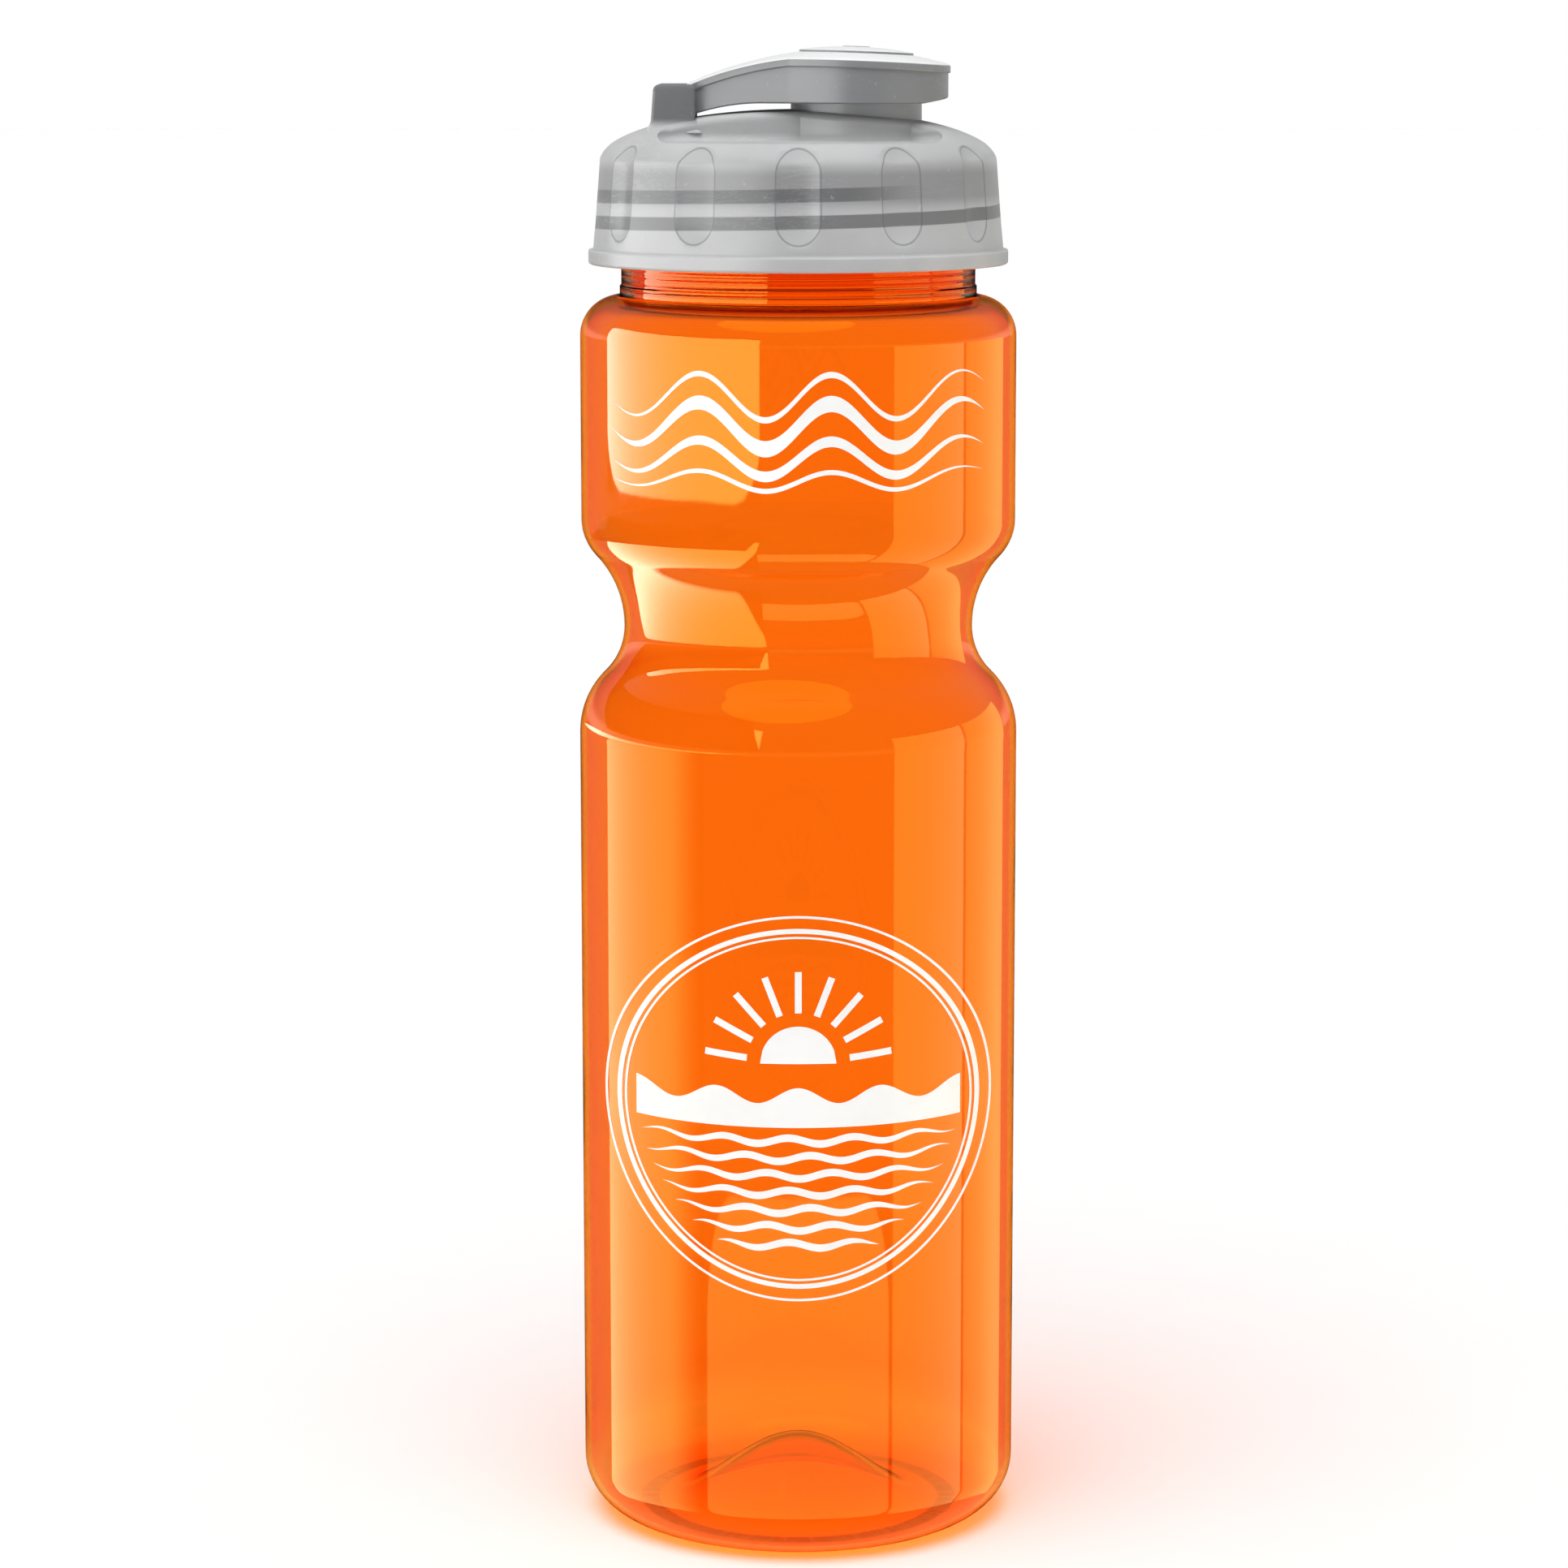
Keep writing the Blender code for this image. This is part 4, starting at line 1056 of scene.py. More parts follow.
@dataclass(frozen=True)
class BottleBody:
    """The blown body: push-up base, gripping waist, upper panel and threaded neck."""

    places: Places
    thread: Thread
    wall: float = 0.9 * MM
    corner_r: float = 9.3 * MM
    ring_width: float = 3.3 * MM
    push_up: float = 11.0 * MM
    lower_top_z: float = 134.3 * MM
    waist_depth: float = 7.52 * MM
    waist_lower: float = 17.8 * MM
    waist_upper: float = 17.9 * MM
    lower_share: float = 0.455
    upper_share: float = 0.67
    panel_inset: float = 0.45 * MM
    panel_length: float = 30.4 * MM
    shoulder: float = 6.6 * MM
    neck_r: float = 29.3 * MM
    neck_wall: float = 1.8 * MM
    neck_step: float = 0.25 * MM
    neck_step_height: float = 1.6 * MM
    lip_edge: float = 0.4 * MM
    thread_from: float = -330.0
    thread_to: float = 170.0
    segments: int = 240
    arc_steps: int = 16

    @property
    def panel_r(self) -> float:
        """The upper panel's radius."""
        return self.places.body_r - self.panel_inset

    @property
    def waist_z(self) -> float:
        """The height of the waist's narrowest place."""
        return self.lower_top_z + self.waist_lower

    @property
    def panel_low(self) -> float:
        """The upper panel's lower end."""
        return self.waist_z + self.waist_upper

    @property
    def panel_high(self) -> float:
        """The upper panel's upper end."""
        return self.panel_low + self.panel_length

    @property
    def shoulder_z(self) -> float:
        """Where the shoulder meets the neck."""
        return self.panel_high + self.shoulder

    def outline(self) -> list[Point]:
        """The outside from the foot of the neck down to the middle of the base."""
        body_r = self.places.body_r
        run = self.panel_r - self.neck_r - self.neck_step
        shoulder = [
            (self.panel_r - run * (1 - r), self.panel_high + self.shoulder * z)
            for r, z in arc((0, 0), 1.0, 90, 0, self.arc_steps)
        ]
        waist = (body_r - self.waist_depth, self.waist_z)
        upper = s_curve((self.panel_r, self.panel_low), waist, self.upper_share, self.arc_steps)
        lower = s_curve((body_r, self.lower_top_z), waist, self.lower_share, self.arc_steps)
        middle = (body_r - self.corner_r, self.corner_r)
        corner = arc(middle, self.corner_r, 0, -90, self.arc_steps)
        ring_r = body_r - self.corner_r - self.ring_width
        dome = []
        for i in range(2 * self.arc_steps + 1):
            share = 1 - i / (2 * self.arc_steps)
            dome.append((ring_r * share, self.push_up * (1 + math.cos(math.pi * share)) / 2))
        return shoulder + upper + lower[-2::-1] + corner + dome

    def wall_profile(self) -> list[Point]:
        """The whole wall, from the middle of the floor up inside and down outside."""
        outside = self.outline()
        inside = offset(outside, self.wall, closed=False)
        inside[-1] = (0.0, outside[-1][1] + self.wall)
        inside = [point for point in inside if point[0] >= 0]
        inside.reverse()
        bore_r = self.neck_r - self.neck_wall
        lip = self.places.lip_z
        step_top = self.shoulder_z + self.neck_step_height
        edge = self.lip_edge
        neck = [(bore_r, inside[-1][1] + self.wall)]
        neck += arc((bore_r + edge, lip - edge), edge, 180, 90, 4)
        neck += arc((self.neck_r - edge, lip - edge), edge, 90, 0, 4)
        neck += [(self.neck_r, step_top + self.neck_step), (self.neck_r + self.neck_step, step_top)]
        return inside + neck + outside

    def build(self, thread_group: bpy.types.NodeTree, material: bpy.types.Material) -> None:
        """Make the body and its neck thread as one solid.

        Args:
            thread_group: The thread's geometry tree.
            material: The clear plastic.
        """
        wall = lathe("body_wall", self.wall_profile(), self.segments)
        height = self.places.lip_z - self.thread.below_lip + self.thread.pitch / 2
        ends = (self.thread_from, self.thread_to)
        ridge = self.thread.ridge(thread_group, self.neck_r, height, ends, inside=False)
        mesh = finish_shading(combine(wall, ridge, Join.ADD))
        place_piece("clear_body", mesh, Body.BOTTLE, material, ("bottle_body",))


# ---------------------------------------------------------------- cap


@dataclass(frozen=True)
class ScrewCap:
    """The moulded cap: skirt with grips, scooped dome, spout, hinge ears and inner thread."""

    places: Places
    thread: Thread
    neck_r: float
    skirt_wall: float = 1.45 * MM
    skirt_draft: float = 1.05 * MM
    flange_height: float = 2.4 * MM
    flange_step: float = 0.85 * MM
    flange_edge: float = 0.5 * MM
    dome_above_lip: float = 1.4 * MM
    dome_height: float = 8.5 * MM
    dome_wall: float = 1.7 * MM
    seal_wall: float = 1.0 * MM
    seal_drop: float = 2.6 * MM
    neck_wall: float = 1.8 * MM
    gap: float = 0.3 * MM
    grip_count: int = 12
    grip_r: float = 10.0 * MM
    grip_depth: float = 0.85 * MM
    grip_low: float = 6.8 * MM
    grip_over: float = 9.0
    ridge_half: float = 9.0 * MM
    scoop_depth: float = 5.0 * MM
    scoop_left: float = -22.8 * MM
    scoop_right: float = 23.4 * MM
    scoop_end_r: float = 7.0 * MM
    scoop_fillet: float = 1.3 * MM
    ridge_edge: float = 1.1 * MM
    spout_wall: float = 1.8 * MM
    spout_r: float = 10.8 * MM
    spout_fillet: float = 1.3 * MM
    ear_gap_half: float = 6.3 * MM
    ear_wall: float = 2.2 * MM
    ear_half: float = 3.4 * MM
    ear_rise: float = 2.6 * MM
    ear_slant: float = 0.6 * MM
    ear_sink: float = 5.2 * MM
    blind_wall: float = 0.8 * MM
    bore_gap: float = 0.1 * MM
    thread_from: float = -240.0
    thread_to: float = 311.0
    segments: int = 288
    fine: int = 8

    @property
    def bore_r(self) -> float:
        """The skirt's inner radius."""
        return self.neck_r + self.thread.depth + self.thread.gap

    @property
    def dome_r(self) -> float:
        """The dome's outer radius at its foot."""
        return self.bore_r + self.skirt_wall

    @property
    def dome_z(self) -> float:
        """The height of the dome's foot."""
        return self.places.lip_z + self.dome_above_lip

    @property
    def crown_z(self) -> float:
        """The top of the dome."""
        return self.dome_z + self.dome_height

    @property
    def scoop_z(self) -> float:
        """The floor of the scoops."""
        return self.crown_z - self.scoop_depth

    @property
    def ceiling_z(self) -> float:
        """The ledge above the gasket."""
        return self.places.gasket_high + self.gap

    def dome_at(self, radius: float, grown: float = 0.0) -> float:
        """The dome's height at a radius, moved out or in by a wall."""
        share = min(abs(radius) / (self.dome_r + grown), 1.0)
        return self.dome_z + (self.dome_height + grown) * math.sqrt(1 - share * share)

    def dome_points(self, grown: float, to_r: float) -> list[Point]:
        """(radius, height) points from the middle out to a radius, closer near the edge."""
        outer = self.dome_r + grown
        steps = 5 * self.fine
        full = math.asin(min(to_r / outer, 1.0))
        radii = [outer * math.sin(full * i / steps) for i in range(steps + 1)]
        return [(r, self.dome_at(r, grown)) for r in radii]

    def outline(self) -> list[Point]:
        """The outside as a solid block, from the crown down to the rim's middle."""
        top = self.places.rim_z + self.flange_height
        skirt_r = self.places.flange_r - self.flange_step
        edge = self.flange_edge
        flange_r = self.places.flange_r
        low = self.places.rim_z
        foot = arc((skirt_r + edge, top + edge), edge, 180, 270, self.fine)
        shoulder = arc((flange_r - edge / 2, top - edge / 2), edge / 2, 90, 0, self.fine)
        rim = arc((flange_r - edge, low + edge), edge, 0, -90, self.fine)
        return self.dome_points(0.0, self.dome_r) + foot + shoulder + rim + [(0.0, low)]

    def cavity(self) -> bpy.types.Mesh:
        """The space inside the cap, with the hollow dome under the ridge."""
        seal_r = self.neck_r - self.neck_wall - self.gap
        inner_r = seal_r - self.seal_wall
        seal_low = self.places.lip_z - self.seal_drop
        below = self.places.rim_z - self.flange_edge
        dome = [point for point in self.dome_points(-self.dome_wall, inner_r) if point[0] < inner_r]
        tip = arc((inner_r + self.seal_wall / 2, seal_low + self.seal_wall / 2),
                  self.seal_wall / 2, 180, 360, self.fine)
        profile = dome + [(inner_r, self.dome_at(inner_r, -self.dome_wall))] + tip + [
            (seal_r, self.ceiling_z),
            (self.bore_r, self.ceiling_z),
            (self.bore_r, self.places.rim_z + self.flange_edge),
            (self.bore_r + self.flange_edge, below),
            (0.0, below),
        ]
        space = lathe("cavity", profile, self.segments)
        return combine(space, self.scoops(self.dome_wall), Join.CUT)

    def scoop_plan(self, grown: float) -> list[Point]:
        """One scoop seen from above, on the -Y side, from its outer left corner.

        Args:
            grown: How much larger it is made all round.

        Returns:
            The plan's points, always as many.
        """
        left = self.scoop_left - grown
        right = self.scoop_right + grown
        outside = -(self.dome_r + 2 * MM)
        steps = 14 * self.fine
        plan = [(left, outside), (right, outside)]
        clear = self.spout_r + 2.0 * MM - grown
        for i in range(steps + 1):
            x = left + (right - left) * (1 + math.cos(math.pi * i / steps)) / 2
            y = -self.ridge_half + grown
            from_spout = abs(x - self.places.spout_x)
            if from_spout < clear:
                y = min(y, -math.sqrt(clear**2 - from_spout**2))
            from_end = max(min(x - left, right - x), 0.0)
            if from_end < self.scoop_end_r:
                rest = self.scoop_end_r - from_end
                drop = self.scoop_end_r - math.sqrt(self.scoop_end_r**2 - rest**2)
                y = min(y, -self.ridge_half + grown - drop)
            plan.append((x, y))
        return plan

    def scoops(self, wall: float) -> bpy.types.Mesh:
        """Both scoops as one solid, with a round foot and, outside, a round upper edge.

        Args:
            wall: How much it is shrunk for the hollow underneath.

        Returns:
            The solid.
        """
        floor = self.scoop_z - wall
        fillet, edge = self.scoop_fillet, self.ridge_edge
        levels: list[tuple[float, Callable[[float, float], float]]] = []
        for i in range(self.fine + 1):
            angle = math.pi / 2 * i / self.fine
            rise = floor + fillet * (1 - math.cos(angle))
            levels.append((fillet * (math.sin(angle) - 1), lambda x, y, z=rise: z))

        def top(x: float, y: float) -> float:
            """The dome above a place, kept above the scoop's foot."""
            return max(self.dome_at(math.hypot(x, y)), floor + fillet + edge + 0.1 * MM)

        if not wall:
            for i in range(self.fine + 1):
                angle = math.radians(84) * i / self.fine
                drop = edge * (1 - math.sin(angle))
                levels.append((edge * (1 - math.cos(angle)), lambda x, y, d=drop: top(x, y) - d))
        levels.append((edge if not wall else 0.6 * MM, lambda x, y: top(x, y) + 2 * MM))
        shape = bmesh.new()
        for side in (1, -1):
            loops = []
            for grown, height in levels:
                plan = self.scoop_plan(grown + wall)
                loops.append([(x, side * y, height(x, y)) for x, y in plan])
            half = skin("scoop_half", loops)
            shape.from_mesh(half)
            bpy.data.meshes.remove(half)
        return mesh_of("scoops", shape)

    def skirt_at(self, height: float) -> float:
        """The skirt's outer radius at a height, with its draft."""
        top = self.dome_z
        low = self.places.rim_z + self.flange_height
        share = (top - height) / (top - low)
        return self.dome_r + self.skirt_draft * share

    def grips(self, fan_group: bpy.types.NodeTree) -> bpy.types.Mesh:
        """The finger grips' cutters: a ball run up the skirt and over the shoulder.

        Args:
            fan_group: The tree that sets copies round the axis.

        Returns:
            All cutters as one mesh.
        """
        lift = self.grip_r - self.grip_depth
        path = []
        low_z = self.places.lip_z - self.grip_low
        for i in range(self.fine + 1):
            z = low_z + (self.dome_z - low_z) * i / self.fine
            path.append((self.skirt_at(z) + lift, z))
        for i in range(1, self.fine + 1):
            t = math.radians(self.grip_over) * i / self.fine
            r, z = self.dome_r * math.cos(t), self.dome_z + self.dome_height * math.sin(t)
            nr, nz = math.cos(t) / self.dome_r, math.sin(t) / self.dome_height
            length = math.hypot(nr, nz)
            path.append((r + lift * nr / length, z + lift * nz / length))
        loops = []
        steps = 12 * self.fine

        def ring(middle: Vector, along: Vector, radius: float) -> None:
            """Add one round section across the path."""
            side = Vector((along.z, 0.0, -along.x))
            points = []
            for i in range(steps):
                angle = math.tau * i / steps
                spot = middle + side * (radius * math.cos(angle))
                points.append((spot.x, radius * math.sin(angle), spot.z))
            loops.append(points)

        spots = [Vector((r, 0.0, z)) for r, z in path]
        ways = [(b - a).normalized() for a, b in zip(spots, spots[1:])]
        for i in range(2 * self.fine, 0, -1):
            angle = math.pi / 2 * i / (2 * self.fine)
            ring(spots[0] - ways[0] * (self.grip_r * math.sin(angle)), ways[0],
                 self.grip_r * math.cos(angle))
        for spot, way in zip(spots, ways + ways[-1:]):
            ring(spot, way, self.grip_r)
        for i in range(1, 2 * self.fine + 1):
            angle = math.pi / 2 * i / (2 * self.fine)
            ring(spots[-1] + ways[-1] * (self.grip_r * math.sin(angle)), ways[-1],
                 self.grip_r * math.cos(angle))
        one = skin("grip", loops, pinched=True)
        return outward(grow(fan_group, {
            "Count": self.grip_count, "First Angle": 0.0,
            "Step Angle": math.tau / self.grip_count,
        }, one))

    def spout(self) -> bpy.types.Mesh:
        """The spout's wall as a block with a flared foot and a round lip."""
        top, radius, wall = self.places.spout_top_z, self.spout_r, self.spout_wall
        foot, flare = self.scoop_z, self.spout_fillet
        lip = 0.55 * MM
        profile = [(0.0, top)] + arc((radius - lip, top - lip), lip, 90, 0, self.fine)
        profile += arc((radius + flare, foot + flare), flare, 180, 270, self.fine)
        profile += [(radius + flare, foot - wall / 2), (0.0, foot - wall / 2)]
        return lathe("spout_wall", profile, 144, self.places.spout_x)

    def spout_bore(self) -> bpy.types.Mesh:
        """The drinking hole with a round upper edge."""
        top, radius = self.places.spout_top_z, self.spout_r - self.spout_wall
        lip = 0.4 * MM
        profile = [(0.0, self.ceiling_z), (radius, self.ceiling_z), (radius, top - lip)]
        profile += arc((radius + lip, top - lip), lip, 180, 100, self.fine)
        profile += [(radius + lip, top + MM), (0.0, top + MM)]
        return lathe("spout_bore", profile, 144, self.places.spout_x)

    def ear(self, side: int) -> bpy.types.Mesh:
        """One hinge ear with soft edges and a flared foot.

        Args:
            side: +1 or -1 for the side of the middle plane.

        Returns:
            The ear.
        """
        pivot = self.places.pivot
        top, foot = pivot.z + self.ear_rise, pivot.z - self.ear_sink
        left, right = pivot.x - self.ear_half, pivot.x + self.ear_half
        near, far = self.ear_gap_half, self.ear_gap_half + self.ear_wall
        heights = [foot + 2.2 * MM * i / self.fine for i in range(self.fine)]
        heights += [foot + 2.2 * MM, top - 1.0 * MM]
        heights += [top - MM + MM * math.sin(math.pi / 2 * i / self.fine)
                    for i in range(1, self.fine + 1)]
        loops = []
        for z in heights:
            low_share = max(foot + 2.2 * MM - z, 0.0) / (2.2 * MM)
            flare = 1.1 * MM * low_share**2.2
            high_share = max(z - (top - MM), 0.0) / MM
            inset = MM * (1 - math.sqrt(max(1 - high_share**2, 0.0)))
            slant = self.ear_slant * (top - z) / (top - foot)
            x0, x1 = left - slant - flare + inset, right + flare - inset
            y0 = near - 0.2 * flare + 0.35 * inset
            y1 = far + 0.9 * flare - 0.45 * inset
            box = rounded_box((x0, y0), (x1, y1), 0.45 * MM, self.fine)
            loops.append([(x, side * y, z) for x, y in box])
        return skin("hinge_ear", loops)

    def build(
        self,
        thread_group: bpy.types.NodeTree,
        fan_group: bpy.types.NodeTree,
        material: bpy.types.Material,
    ) -> None:
        """Make the whole cap as one solid.

        Args:
            thread_group: The thread's geometry tree.
            fan_group: The tree that sets copies round the axis.
            material: The frosted plastic.
        """
        cap = lathe("cap_block", self.outline(), self.segments)
        cap = combine(cap, self.scoops(0.0), Join.CUT)
        cap = combine(cap, self.spout(), Join.ADD)
        for side in (1, -1):
            cap = combine(cap, self.ear(side), Join.ADD)
        cap = combine(cap, self.grips(fan_group), Join.CUT)
        cap = combine(cap, self.cavity(), Join.CUT)
        cap = combine(cap, self.spout_bore(), Join.CUT)
        pivot = self.places.pivot
        far = self.ear_gap_half + self.ear_wall
        start = pivot + Vector((0.0, -far + self.blind_wall, 0.0))
        end = pivot + Vector((0.0, far + MM, 0.0))
        hole = rod("pin_hole", self.places.pin_r + self.bore_gap, start, end, 12 * self.fine)
        cap = combine(cap, hole, Join.CUT)
        height = self.places.lip_z - self.thread.below_lip
        ends = (self.thread_from, self.thread_to)
        ridge = self.thread.ridge(thread_group, self.bore_r, height, ends, inside=True)
        cap = combine(cap, ridge, Join.ADD)
        place_piece("frosted_cap", finish_shading(cap), Body.CAP, material,
                    ("screw_cap",))


# ---------------------------------------------------------------- lever, pin and seals


@dataclass(frozen=True)
class FlipLever:
    """The lever: a tray with a beaded edge, a raised pad, a knuckle and the plug's stud."""

    places: Places
    crown_z: float
    wall: float = 1.4 * MM
    plate: float = 1.6 * MM
    neck_half: float = 10.66 * MM
    tail_x: float = 0.6 * MM
    straight: float = 3.7 * MM
    rise: float = 9.8 * MM
    crown_x: float = 7.5 * MM
    back_r: float = 59.0 * MM
    cross_r: float = 72.0 * MM
    skirt_rise: float = 1.3 * MM
    tail_drop: float = 1.8 * MM
    drop_from: float = -6.0 * MM
    drop_length: float = 11.0 * MM
    nose_lift: float = 0.8 * MM
    spout_r: float = 10.8 * MM
    bead: float = 0.35 * MM
    bead_height: float = 1.1 * MM
    pad_r: float = 9.4 * MM
    pad_step: float = 0.4 * MM
    gate_r: float = 2.2 * MM
    knuckle_r: float = 2.3 * MM
    knuckle_half: float = 6.0 * MM
    stud_r: float = 2.2 * MM
    stud_depth: float = 1.3 * MM
    gap: float = 0.3 * MM
    bore_gap: float = 0.1 * MM
    fine: int = 8

    def top(self, x: float, y: float) -> float:
        """The height of the lever's back."""
        along = x - self.crown_x
        fall = along * along / (2 * self.back_r) + y * y / (2 * self.cross_r)
        return self.crown_z + self.rise - fall

    def bottom(self, x: float) -> float:
        """The skirt's lower edge: level by the spout, lower at the tail, lifted at the nose."""
        tail = min(max(self.drop_from - x, 0.0) / self.drop_length, 1.0)
        spout_edge = self.places.spout_x + self.spout_r
        nose = max(x - spout_edge, 0.0) / (self.places.lever_nose_x - spout_edge)
        low = self.crown_z + self.skirt_rise
        return low - self.tail_drop * tail * tail + self.nose_lift * nose

    def plan(self) -> list[Point]:
        """The lever from above: a round head and an arm that narrows to the hinge."""
        radius = self.places.lever_nose_x - self.places.spout_x
        tail_x = self.places.pivot.x + self.tail_x
        straight_x = self.places.pivot.x + self.straight
        corner = 1.2 * (self.bead + self.wall)
        join = 180 - math.degrees(math.asin(self.neck_half / radius))
        head = arc((self.places.spout_x, 0.0), radius, -join, join, 14 * self.fine)
        join_x = head[-1][0]
        steps = 4 * self.fine
        arm = []
        for i in range(steps - 1, -1, -1):
            share = i / steps
            width = self.knuckle_half + (self.neck_half - self.knuckle_half) * share
            arm.append((straight_x + (join_x - straight_x) * share, width))
        centre = (tail_x + corner, self.knuckle_half - corner)
        arm += arc(centre, corner, 90, 180, self.fine)
        return head + arm + [(x, -y) for x, y in reversed(arm)]

    def ring(self, points: list[Point], share: float) -> list[Point]:
        """Move an outline towards the lever's middle line by a share."""
        spine_from = self.places.pivot.x + self.straight
        moved = []
        for x, y in points:
            spine_x = min(max(x, spine_from), self.places.spout_x)
            moved.append((x + (spine_x - x) * share, y * (1 - share)))
        return moved

    def shell(self) -> bpy.types.Mesh:
        """The tray: plate, skirt and the small bead round its upper edge."""
        plan = self.plan()
        skirt = offset(plan, -self.bead, closed=True)
        inner = offset(plan, -self.bead - self.wall, closed=True)
        shares = [i / (2 * self.fine) for i in range(1, 2 * self.fine + 1)]
        loops = []

        def level(points: list[Point], height: Callable[[float, float], float]) -> None:
            """Add one section with its height given by place."""
            loops.append([(x, y, height(x, y)) for x, y in points])

        def ceiling(x: float, y: float) -> float:
            """The underside of the lever's plate by place."""
            return self.top(x, y) - self.plate

        for share in reversed(shares):
            level(self.ring(inner, share), ceiling)
        level(inner, ceiling)
        soft = 0.3 * MM
        for i in range(self.fine + 1):
            angle = math.pi * i / self.fine
            inset = self.bead + self.wall / 2 + (self.wall / 2) * math.cos(angle)
            drop = soft * (math.sin(angle) - 1)
            level(offset(plan, -inset, closed=True), lambda x, y, d=drop: self.bottom(x) - d - soft)
        low, edge = self.bead_height, self.bead
        level(skirt, lambda x, y: self.top(x, y) - low - edge)
        for i in range(self.fine + 1):
            angle = math.pi / 2 * i / self.fine
            inset = edge * (1 - math.sin(angle))
            level(offset(plan, -inset, closed=True),
                  lambda x, y, a=angle: self.top(x, y) - low + edge * (1 - math.cos(a)) - edge)
        for i in range(self.fine + 1):
            angle = math.pi / 2 * i / self.fine
            inset = 2 * edge * (1 - math.cos(angle))
            level(offset(plan, -inset, closed=True),
                  lambda x, y, a=angle: self.top(x, y) - 0.8 * edge * (1 - math.sin(a)))
        crest = offset(plan, -2 * edge, closed=True)
        for share in shares:
            level(self.ring(crest, share), self.top)
        return skin("lever_shell", loops, pinched=True)

    def disc(self, name: str, radius: float, step: float, soft: float) -> bpy.types.Mesh:
        """A low round step on the lever's back, over the spout.

        Args:
            name: The mesh's name.
            radius: The step's radius.
            step: How far it stands up.
            soft: The radius of its upper edge.

        Returns:
            The step.
        """
        rings = [(radius, -self.plate / 2), (radius, step - soft)]
        rings += [(radius - soft * (1 - math.cos(a)), step - soft * (1 - math.sin(a)))
                  for a in (math.pi / 2 * i / self.fine for i in range(1, self.fine + 1))]
        rings += [((radius - soft) * share, step) for share in (0.8, 0.6, 0.4, 0.2)]
        loops = []
        for r, rise in rings:
            circle = arc((self.places.spout_x, 0.0), r, 0, 360, 12 * self.fine)[:-1]
            loops.append([(x, y, self.top(x, y) + rise) for x, y in circle])
        return skin(name, loops)

    def build(self, material: bpy.types.Material) -> None:
        """Make the lever as one solid.

        Args:
            material: The frosted plastic.
        """
        lever = combine(self.shell(), self.disc("pad", self.pad_r, self.pad_step, 0.25 * MM),
                        Join.ADD)
        gate = self.disc("gate", self.gate_r, self.pad_step + 0.12 * MM, 0.1 * MM)
        lever = combine(lever, gate, Join.ADD)
        pivot = self.places.pivot
        half = Vector((0.0, self.knuckle_half, 0.0))
        steps = 12 * self.fine
        lever = combine(lever, rod("knuckle", self.knuckle_r, pivot - half, pivot + half, steps),
                        Join.ADD)
        spout_x = self.places.spout_x
        seat = self.places.spout_top_z + self.gap
        stud = rod("stud", self.stud_r, Vector((spout_x, 0.0, seat - self.stud_depth)),
                   Vector((spout_x, 0.0, self.top(spout_x, 0.0) - self.plate / 2)), steps)
        lever = combine(lever, stud, Join.ADD)
        reach = Vector((0.0, 2 * self.knuckle_half, 0.0))
        bore = rod("bore", self.places.pin_r + self.bore_gap, pivot - reach, pivot + reach, steps)
        lever = combine(lever, bore, Join.CUT)
        place_piece("flip_top_lever", finish_shading(lever), Body.LEVER, material,
                    ("flip_lever",))


